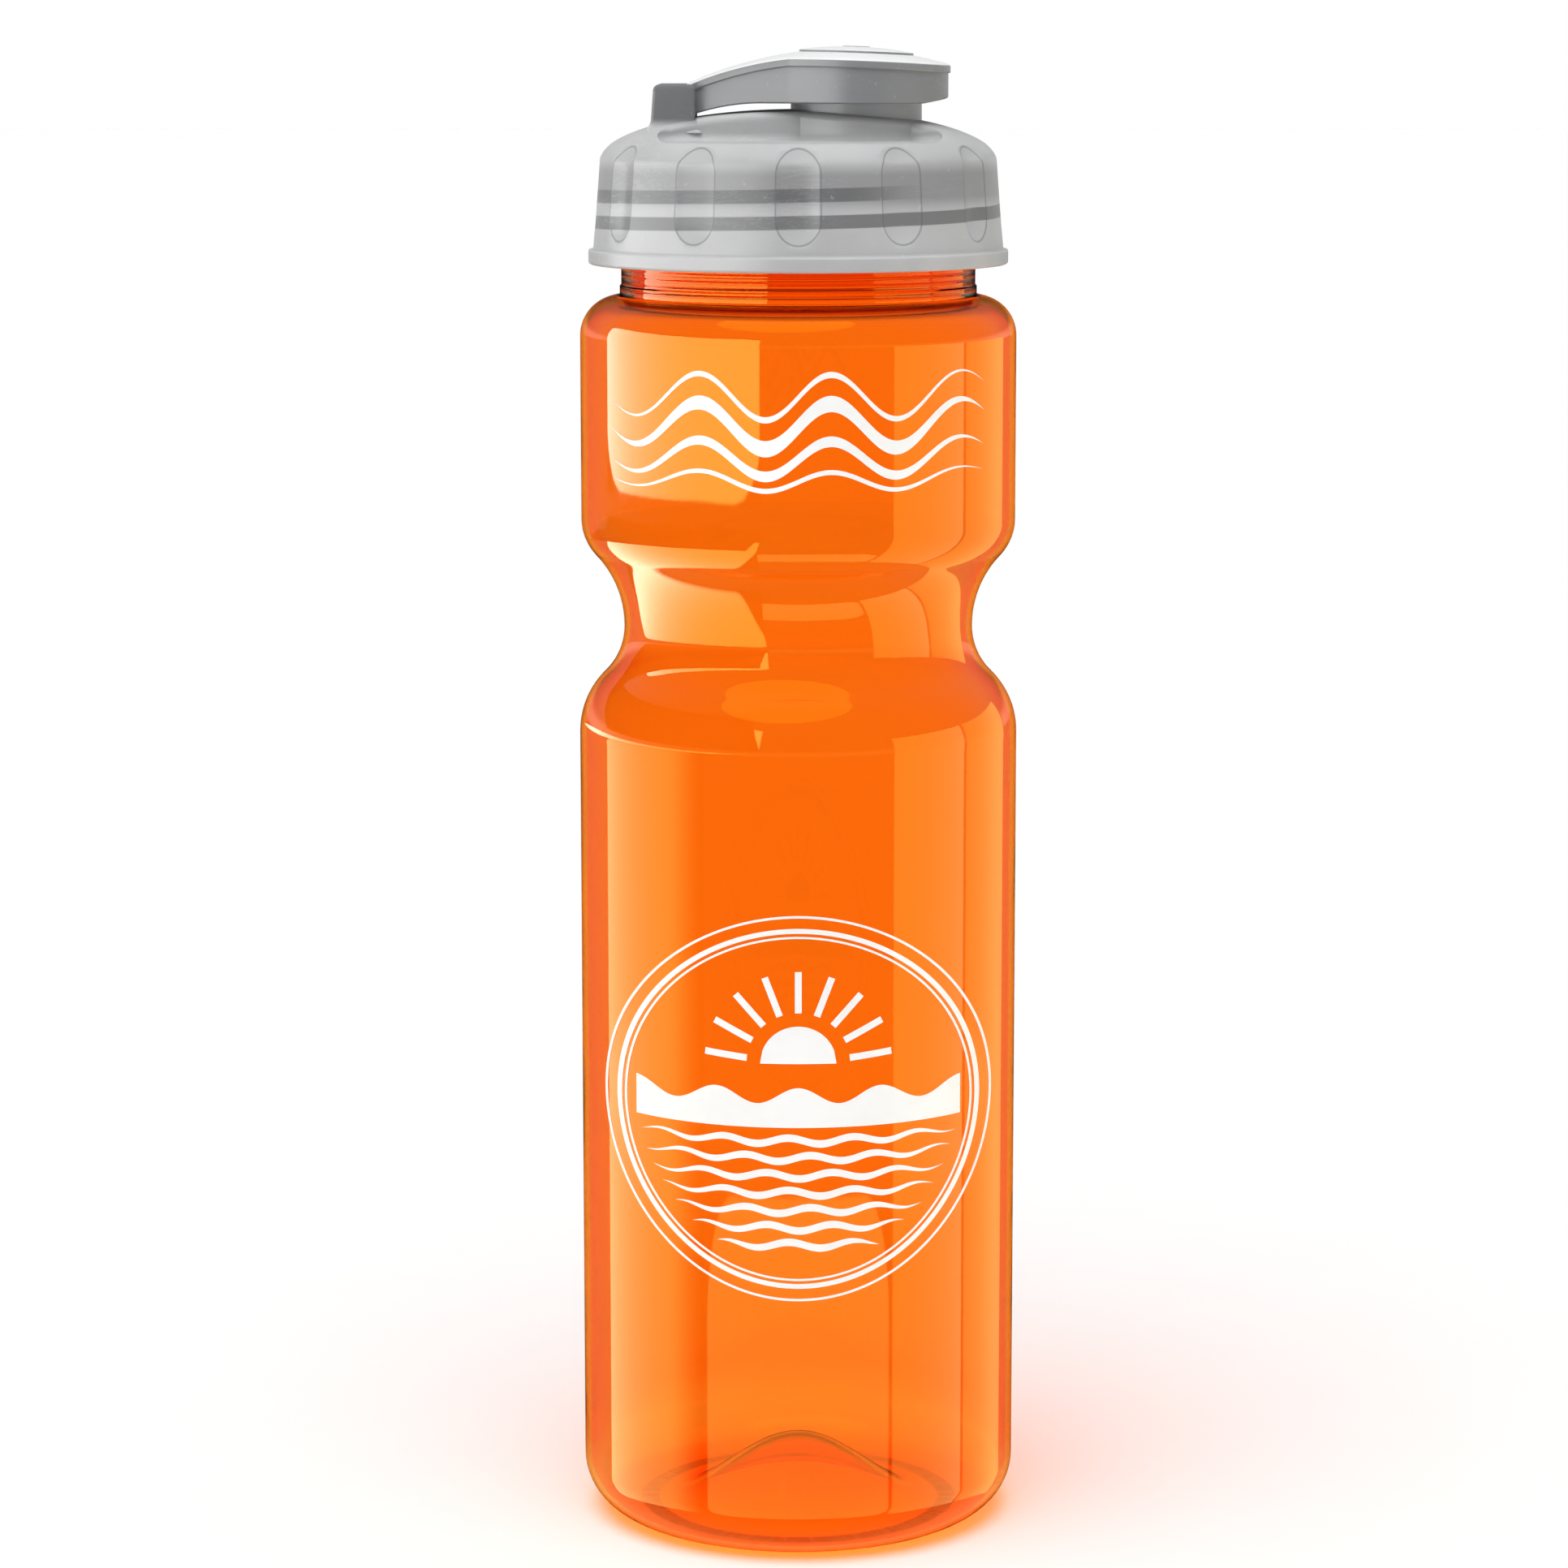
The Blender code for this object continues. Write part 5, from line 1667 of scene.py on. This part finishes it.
@dataclass(frozen=True)
class SmallParts:
    """The hinge pin, the gasket under the cap and the soft plug in the spout."""

    places: Places
    seal_r: float
    gap: float = 0.3 * MM
    stud_r: float = 2.2 * MM
    stud_depth: float = 1.3 * MM
    plug_gap: float = 0.4 * MM
    spout_bore_r: float = 9.0 * MM
    plug_taper: float = 0.5 * MM
    fine: int = 8

    def pin(self, material: bpy.types.Material) -> None:
        """The hinge pin with rounded ends."""
        radius, edge = self.places.pin_r, 0.25 * MM
        near, far = self.places.pin_near_y, self.places.pin_far_y
        profile = [(0.0, near)] + arc((radius - edge, near + edge), edge, -90, 0, self.fine)
        profile += arc((radius - edge, far - edge), edge, 0, 90, self.fine) + [(0.0, far)]
        mesh = lathe("pin", profile, 8 * self.fine)
        lay = Matrix.Translation(self.places.pivot) @ Matrix.Rotation(math.radians(-90), 4, "X")
        mesh.transform(lay)
        place_piece("hinge_rod", finish_shading(mesh), Body.CAP, material,
                    ("hinge_pin",))

    def gasket(self, material: bpy.types.Material) -> None:
        """The flat seal with two low beads that bite on the lip."""
        low, high = self.places.gasket_low, self.places.gasket_high
        inner, outer = self.seal_r + self.gap / 2, self.places.gasket_r
        profile = rounded_box((inner, low + 0.12 * MM), (outer, high), 0.28 * MM, self.fine)
        beads = []
        for share in (0.68, 0.32):
            middle = (inner + (outer - inner) * share, low + 0.17 * MM)
            beads += arc(middle, 0.17 * MM, 0, -180, self.fine)
        start = 4 * (self.fine + 1)
        mesh = lathe("gasket", profile[:start] + list(reversed(beads)), 192, ring=True)
        place_piece("gasket_ring", finish_shading(mesh), Body.SEAL, material,
                    ("cap_gasket",))

    def plug(self, material: bpy.types.Material) -> None:
        """The soft plug: a flange on the spout and a body with two sealing ribs in it."""
        seat = self.places.spout_top_z + self.gap
        top, bottom = self.places.plug_high, self.places.plug_low
        hole_r, hole_z = self.stud_r + self.gap, seat - self.stud_depth - self.gap
        flange_r, body_r = self.places.plug_flange_r, self.spout_bore_r - self.plug_gap
        edge = 0.27 * MM
        profile = [(0.0, hole_z), (hole_r, hole_z), (hole_r, top)]
        profile += arc((flange_r - edge, top - edge), edge, 90, 0, self.fine)
        profile += arc((flange_r - edge, seat + edge), edge, 0, -90, self.fine)
        neck_r = body_r - 0.45 * MM
        profile += [(neck_r, seat)]
        for share in (0.28, 0.62):
            middle = seat + (bottom - seat) * share
            profile += arc((neck_r, middle), 0.45 * MM, 80, -80, self.fine)
        round_r = 3 * self.plug_taper
        profile += arc((neck_r - round_r, bottom + 0.5 * MM), 0.5 * MM, 0, -90, self.fine)
        profile += [(0.0, bottom)]
        mesh = lathe("plug", profile, 144, self.places.spout_x)
        place_piece("soft_plug", finish_shading(mesh), Body.LEVER, material,
                    ("spout_plug",))


# ---------------------------------------------------------------- printed artwork


@dataclass(frozen=True)
class FrontPrint:
    """White ink on the front: wave ribbons above the waist and a round emblem below it."""

    body_r: float
    panel_r: float
    waves_z: float = 187.7 * MM
    waves_half: float = 30.0 * MM
    wave_length: float = 21.0 * MM
    wave_rows: tuple[tuple[float, float, float], ...] = (
        (5.0 * MM, 1.0 * MM, 3.6 * MM),
        (0.4 * MM, 2.6 * MM, 3.6 * MM),
        (-4.8 * MM, 1.7 * MM, 2.8 * MM),
        (-8.4 * MM, 0.8 * MM, 1.5 * MM),
    )
    emblem_z: float = 77.2 * MM
    rings: tuple[Point, ...] = (
        (32.0 * MM, 0.4 * MM),
        (29.9 * MM, 0.8 * MM),
        (28.6 * MM, 0.35 * MM),
    )
    picture_r: float = 26.9 * MM
    land_half: float = 26.6 * MM
    land_z: Point = (-3.0 * MM, 2.3 * MM)
    land_wave: Point = (1.3 * MM, 13.4 * MM)
    sun_z: float = 7.6 * MM
    sun_r: float = 6.2 * MM
    ray_reach: Point = (8.4 * MM, 15.2 * MM)
    ray_half: float = 0.55 * MM
    ray_count: int = 9
    ray_first: float = 6.0
    ray_step: float = 21.0
    lift: float = 0.02 * MM
    ink: float = 0.05 * MM
    step: float = 0.8 * MM

    def circle_band(self, shape: bmesh.types.BMesh, outer: float, width: float) -> None:
        """Add a thin ring to a flat drawing."""
        steps = math.ceil(math.tau * outer / self.step)
        rows = []
        for i in range(steps):
            angle = math.tau * i / steps
            way = Vector((math.cos(angle), math.sin(angle), 0.0))
            rows.append((shape.verts.new(way * (outer - width)), shape.verts.new(way * outer)))
        for (a, b), (c, d) in zip(rows, rows[1:] + rows[:1]):
            shape.faces.new((a, b, d, c))

    def field(
        self,
        shape: bmesh.types.BMesh,
        ends: Point,
        low: Callable[[float], float],
        high: Callable[[float], float],
    ) -> None:
        """Add the area between two curves to a flat drawing.

        Args:
            shape: The drawing.
            ends: The area's first and last place along X.
            low: Its lower edge by place.
            high: Its upper edge by place.
        """
        count = max(math.ceil((ends[1] - ends[0]) / (0.5 * self.step)), 2)
        rows = []
        for i in range(count + 1):
            x = ends[0] + (ends[1] - ends[0]) * i / count
            top = max(high(x), low(x) + 0.001 * MM)
            rows.append((shape.verts.new((x, low(x), 0.0)), shape.verts.new((x, top, 0.0))))
        for (a, b), (c, d) in zip(rows, rows[1:]):
            shape.faces.new((a, c, d, b))

    def printed(self, name: str, flat: bpy.types.Mesh, radius: float, middle_z: float,
                material: bpy.types.Material) -> None:
        """Lay a flat drawing on the bottle's front and give the ink its thickness.

        Args:
            name: The piece's name.
            flat: The drawing in the XY plane.
            radius: The wall it lies on.
            middle_z: The height of the drawing's origin.
            material: The ink.
        """
        reach = radius + self.lift
        for vert in flat.vertices:
            x, y, _ = vert.co
            vert.co = (x, -math.sqrt(reach**2 - x * x), middle_z + y)
        holder = hold(name, flat)
        solid = holder.modifiers.new("ink", "SOLIDIFY")
        solid.thickness = self.ink
        solid.offset = 1.0
        place_piece(name, baked(holder), Body.BOTTLE, material)

    def waves(self, ripple_group: bpy.types.NodeTree, material: bpy.types.Material) -> None:
        """The band of wave ribbons on the upper panel.

        Args:
            ripple_group: The tree that makes a ribbon.
            material: The ink.
        """
        flat = bmesh.new()
        for top, thickness, amplitude in self.wave_rows:
            row = grow(ripple_group, {
                "Rows": 1, "Columns": 150, "Half Width": self.waves_half, "Circle": 1.0,
                "Top": top, "Spacing": 100.0, "Thickness": thickness, "Taper": 1.0,
                "Amplitude": amplitude, "Wavelength": self.wave_length, "Phase Step": 0.0,
            })
            flat.from_mesh(row)
        mesh = mesh_of("waves_flat", flat)
        self.printed("print_wave_ribbons", mesh, self.panel_r, self.waves_z, material)

    def emblem(
        self,
        ripple_group: bpy.types.NodeTree,
        fan_group: bpy.types.NodeTree,
        material: bpy.types.Material,
    ) -> None:
        """The round emblem: rings, half a sun over a wavy shore, and water lines.

        Args:
            ripple_group: The tree that makes the water lines.
            fan_group: The tree that turns the sun's rays.
            material: The ink.
        """
        flat = bmesh.new()
        for outer, width in self.rings:
            self.circle_band(flat, outer, width)

        def rim(x: float) -> float:
            """How far the picture reaches from its middle line."""
            return math.sqrt(max(self.picture_r**2 - x * x, 0.0))

        def shore(x: float) -> float:
            """The land's lower edge."""
            return max(self.land_z[0], -rim(x))

        def land(x: float) -> float:
            """The land's wavy upper edge."""
            height, length = self.land_wave
            return min(self.land_z[1] + height * math.cos(math.tau * x / length), rim(x))

        def sun(x: float) -> float:
            """The sun's round upper edge."""
            return self.sun_z + math.sqrt(max(self.sun_r**2 - x * x, 0.0))

        self.field(flat, (-self.land_half, self.land_half), shore, land)
        self.field(flat, (-self.sun_r, self.sun_r), lambda x: self.sun_z, sun)
        ray = bmesh.new()
        self.field(ray, self.ray_reach, lambda x: -self.ray_half, lambda x: self.ray_half)
        rays = grow(fan_group, {
            "Count": self.ray_count, "First Angle": math.radians(self.ray_first),
            "Step Angle": math.radians(self.ray_step),
        }, mesh_of("ray", ray))
        rays.transform(Matrix.Translation((0.0, self.sun_z, 0.0)))
        flat.from_mesh(rays)
        water = grow(ripple_group, {
            "Rows": 7, "Columns": 130, "Half Width": 40 * MM, "Circle": 26.2 * MM,
            "Top": -5.2 * MM, "Spacing": 2.9 * MM, "Thickness": 1.25 * MM, "Taper": 1.0,
            "Amplitude": 0.5 * MM, "Wavelength": 10.5 * MM, "Phase Step": 2.1,
        })
        flat.from_mesh(water)
        mesh = mesh_of("emblem_flat", flat)
        self.printed("print_round_emblem", mesh, self.body_r, self.emblem_z, material)


# ---------------------------------------------------------------- studio


@dataclass(frozen=True)
class Glow:
    """How a card glows: its angles, its other two edges, brightness, warmth and soft edges."""

    sweep: Point
    span: Point
    strength: float
    warmth: float
    corner: float
    fade: float
    level: bool = False


@dataclass(frozen=True)
class Studio:
    """Pale floor, soft light, reflection cards and the camera."""

    camera_y: float = -0.782
    camera_z: float = 0.2495
    tilt: float = 9.05
    lens: float = 107.95
    shift_x: float = -0.0091
    floor_size: float = 24.0
    card_r: float = 0.24
    card_steps: int = 48
    corner_sweep: float = 14.0
    shelf_corner: float = 0.06
    shelf_warmth: float = 0.5
    warm_cuts: Point = (0.12, 0.5)
    floor_greys: Point = (0.812, 0.818)

    def camera(self) -> None:
        """Set up the camera."""
        data = bpy.data.cameras.new("camera")
        data.sensor_width = 36.0
        data.lens = self.lens
        data.shift_x = self.shift_x
        data.clip_start = 0.01
        spot = bpy.data.objects.new("camera", data)
        spot.location = (0.0, self.camera_y, self.camera_z)
        spot.rotation_euler = (math.radians(90 - self.tilt), 0.0, 0.0)
        bpy.context.scene.collection.objects.link(spot)
        bpy.context.scene.camera = spot

    def floor(self) -> None:
        """The plain pale floor."""
        shape = bmesh.new()
        bmesh.ops.create_grid(shape, x_segments=1, y_segments=1, size=self.floor_size / 2)
        floor = hold("floor", mesh_of("floor", shape))
        material, tree, shader, where = start_material("pale_floor")
        noise = tree.add("ShaderNodeTexNoise", {"Vector": where, "Scale": 40.0, "Detail": 4.0})
        share = tree.spread(noise.outputs["Fac"], 0.3, 0.7, 0.0, 1.0)
        pale = tree.tint(share, *((grey, grey, grey, 1.0) for grey in self.floor_greys))
        tree.feed(shader.inputs["Base Color"], pale)
        shader.inputs["Roughness"].default_value = 0.9
        shader.inputs["Specular IOR Level"].default_value = 0.1
        floor.data.materials.append(material)
        floor.visible_glossy = False

    def card(
        self, name: str, sweep: Point, heights: Point, strength: float, warmth: float,
        corner: float = 0.001, fade: float = 1.0,
    ) -> None:
        """A curved glowing card that only shows in reflections.

        Args:
            name: The card's name.
            sweep: Its two angles in degrees from the camera's side towards -X, low to high.
            heights: Its lower and upper edge.
            strength: Its brightness.
            warmth: 0 for white, 1 for a warm yellow.
            corner: Height of its rounded corners.
            fade: Degrees over which its low side fades in.
        """
        low, high = (self.row(sweep, self.card_r, height) for height in heights)
        card = hold(name, mesh_of(name, self.strip(low, high)))
        self.glow(card, Glow(sweep, heights, strength, warmth, corner, fade))

    def shelf(self, name: str, sweep: Point, reach: Point, heights: Point, strength: float) -> None:
        """A level or sloping ring sector whose top glows and whose underside is black.

        Args:
            name: The card's name.
            sweep: Its two angles in degrees from the camera's side towards -X, low to high.
            reach: Its inner and outer radius.
            heights: Its height at both.
            strength: Its brightness.
        """
        inner, outer = (self.row(sweep, radius, high) for radius, high in zip(reach, heights))
        card = hold(name, mesh_of(name, self.strip(outer, inner)))
        look = Glow(sweep, reach, strength, self.shelf_warmth, self.shelf_corner, 1.0, level=True)
        self.glow(card, look)

    def row(self, sweep: Point, radius: float, height: float) -> list[Vector]:
        """Points on a level arc round the bottle."""
        count = self.card_steps
        turns = [math.radians(sweep[0] + (sweep[1] - sweep[0]) * i / count) for i in range(count + 1)]
        return [Vector((-radius * math.sin(a), -radius * math.cos(a), height)) for a in turns]

    def strip(self, first: list[Vector], second: list[Vector]) -> bmesh.types.BMesh:
        """A band of faces between two rows of points."""
        shape = bmesh.new()
        pairs = [(shape.verts.new(a), shape.verts.new(b)) for a, b in zip(first, second)]
        for (a, b), (c, d) in zip(pairs, pairs[1:]):
            shape.faces.new((a, b, d, c))
        return shape

    def glow(self, card: bpy.types.Object, look: Glow) -> None:
        """Light a card up and hide it from everything but reflections."""
        material = bpy.data.materials.new(f"{card.name}_glow")
        material.use_nodes = True
        tree = Tree(material.node_tree)
        material.node_tree.nodes.remove(material.node_tree.nodes["Principled BSDF"])
        place = tree.split(tree.add("ShaderNodeTexCoord").outputs["Object"])
        x, y = place.outputs["X"], place.outputs["Y"]
        angle = tree.math("ARCTAN2", tree.math("MULTIPLY", x, -1.0), tree.math("MULTIPLY", y, -1.0))
        far = place.outputs["Z"]
        if look.level:
            far = tree.math("SQRT", tree.math("ADD", tree.math("MULTIPLY", x, x),
                                              tree.math("MULTIPLY", y, y)))
        sides = [math.radians(value) for value in look.sweep]
        past = []
        for value, (low, high), soft in (
            (angle, sides, math.radians(self.corner_sweep)),
            (far, look.span, look.corner),
        ):
            off = tree.math("SUBTRACT", value, (low + high) / 2)
            off = tree.math("SUBTRACT", tree.math("ABSOLUTE", off), (high - low) / 2 - soft)
            past.append(tree.math("MAXIMUM", tree.math("DIVIDE", off, soft), 0.0))
        square = tree.math("ADD", tree.math("MULTIPLY", past[0], past[0]),
                           tree.math("MULTIPLY", past[1], past[1]))
        edge = tree.spread(tree.math("SQRT", square), 0.95, 1.0, look.strength, 0.0)
        fade = tree.spread(angle, sides[0], sides[0] + math.radians(look.fade), 0.0, 1.0)
        power = tree.math("MULTIPLY", edge, fade)
        if look.level:
            back = tree.add("ShaderNodeNewGeometry").outputs["Backfacing"]
            power = tree.math("MULTIPLY", power, tree.math("SUBTRACT", 1.0, back))
        glow = tree.add("ShaderNodeEmission", {"Strength": power})
        green, blue = (1.0 - cut * look.warmth for cut in self.warm_cuts)
        glow.inputs["Color"].default_value = (1.0, green, blue, 1.0)
        out = material.node_tree.nodes["Material Output"]
        tree.feed(out.inputs["Surface"], glow.outputs[0])
        card.data.materials.append(material)
        card.visible_camera = False
        card.visible_diffuse = False
        card.visible_transmission = False
        card.visible_shadow = False
        card.visible_volume_scatter = False

    def world(self) -> None:
        """A pale horizon between a dim sky and a dark lower half."""
        world = bpy.data.worlds.new("studio_air")
        world.use_nodes = True
        bpy.context.scene.world = world
        tree = Tree(world.node_tree)
        height = tree.split(tree.add("ShaderNodeTexCoord").outputs["Generated"]).outputs["Z"]
        rise = tree.spread(height, -0.03, -0.022, 0.25, 1.0)
        fall = tree.spread(height, 0.02, 0.12, 1.0, 0.38)
        power = tree.math("MINIMUM", rise, fall)
        background = world.node_tree.nodes["Background"]
        background.inputs["Color"].default_value = (1.0, 1.0, 1.0, 1.0)
        tree.feed(background.inputs["Strength"], power)

    def lamp(self, name: str, tilt: Point, energy: float, spread: float) -> None:
        """A soft distant lamp.

        Args:
            name: Its name.
            tilt: Its turn about X and Y in degrees.
            energy: Its strength.
            spread: Its apparent size in degrees.
        """
        data = bpy.data.lights.new(name, "SUN")
        data.energy = energy
        data.angle = math.radians(spread)
        lamp = bpy.data.objects.new(name, data)
        lamp.rotation_euler = (math.radians(tilt[0]), math.radians(tilt[1]), 0.0)
        lamp.visible_glossy = False
        bpy.context.scene.collection.objects.link(lamp)

    def build(self) -> None:
        """Set up the whole studio."""
        self.camera()
        self.floor()
        self.world()
        self.lamp("top_light", (18.0, -5.0), 2.9, 50.0)
        self.card("card_left_high", (18.0, 113.0), (0.155, 0.28), 9.0, 0.0, 0.014)
        self.shelf("shelf_waist", (18.0, 113.0), (0.042, 0.239), (0.135, 0.135), 8.0)
        self.shelf("flag_waist", (18.0, 113.0), (0.05, 0.239), (0.16, 0.15), 0.0)
        self.card("card_left_low", (47.0, 113.0), (-0.12, 0.132), 5.2, 0.9, 0.02, 22.0)
        self.card("card_front_low", (-46.0, 46.0), (-0.12, 0.012), 3.8, 0.4, 0.03)
        self.card("card_right_near", (-91.0, -47.0), (-0.12, 0.2), 3.9, 0.8)
        self.card("card_right_far", (-130.0, -92.0), (-0.12, 0.2), 2.5, 1.4)
        bpy.context.scene.view_settings.view_transform = "Standard"


# ---------------------------------------------------------------- all together


def main() -> None:
    """Build every piece in order."""
    logging.basicConfig(level=logging.INFO, format="%(name)s: %(message)s")
    Studio().build()
    effects = Effects.make()
    thread_group, fan_group, ripple_group = thread_tree(), fan_tree(), ripple_tree()
    places, thread = Places.read(), Thread()

    clear = ClearPlastic().build(effects)
    body = BottleBody(places, thread)
    body.build(thread_group, clear)

    cap = ScrewCap(places, thread, body.neck_r)
    # The cap's finish has painted shade: a band below the dome, the hinge ear, lines round the grips
    # and bands over the inner thread.
    frosted = FrostedPlastic(
        thread_height=places.lip_z - thread.below_lip, thread_pitch=thread.pitch,
        thread_from=cap.thread_from / 360, thread_to=cap.thread_to / 360,
        painted_shade_band=(places.lip_z - 4.8 * MM, places.lip_z + 0.9 * MM),
        painted_shade_ear=(-16.3 * MM, places.lip_z + 8.6 * MM),
        grips=(cap.grip_count, cap.skirt_at(places.lip_z - 3.5 * MM), places.lip_z - 3.5 * MM),
    )
    cap.build(thread_group, fan_group, frosted.build(effects))

    # Painted light and shade: the lever's dark colour stands for its shaded sides, and its top colour
    # is painted light on faces turned up.
    lever_plastic = FrostedPlastic(
        name="frosted_lever_plastic", colour=(0.25, 0.252, 0.257, 1.0),
        top=(0.78, 0.785, 0.79, 1.0), gloss=0.25)
    FlipLever(places, cap.crown_z).build(lever_plastic.build(effects))

    small = SmallParts(places, cap.neck_r - cap.neck_wall - cap.gap)
    rubber = MattFinish("soft_white_rubber", (0.78, 0.78, 0.77, 1.0), (0.62, 0.62, 0.61, 1.0), 0.5)
    small.gasket(rubber.build(effects))
    plug = MattFinish("soft_plug_rubber", (0.74, 0.74, 0.74, 1.0), (0.6, 0.6, 0.6, 1.0), 0.45)
    small.plug(plug.build(effects))
    pin = MattFinish("satin_pin", (0.5, 0.5, 0.51, 1.0), (0.36, 0.36, 0.37, 1.0), 0.35)
    small.pin(pin.build(effects))

    ink = MattFinish("white_print_ink", (0.93, 0.93, 0.92, 1.0), (0.84, 0.84, 0.82, 1.0), 0.45)
    white = ink.build(effects)
    prints = FrontPrint(places.body_r, body.panel_r)
    prints.waves(ripple_group, white)
    prints.emblem(ripple_group, fan_group, white)


if __name__ == "__main__":
    main()
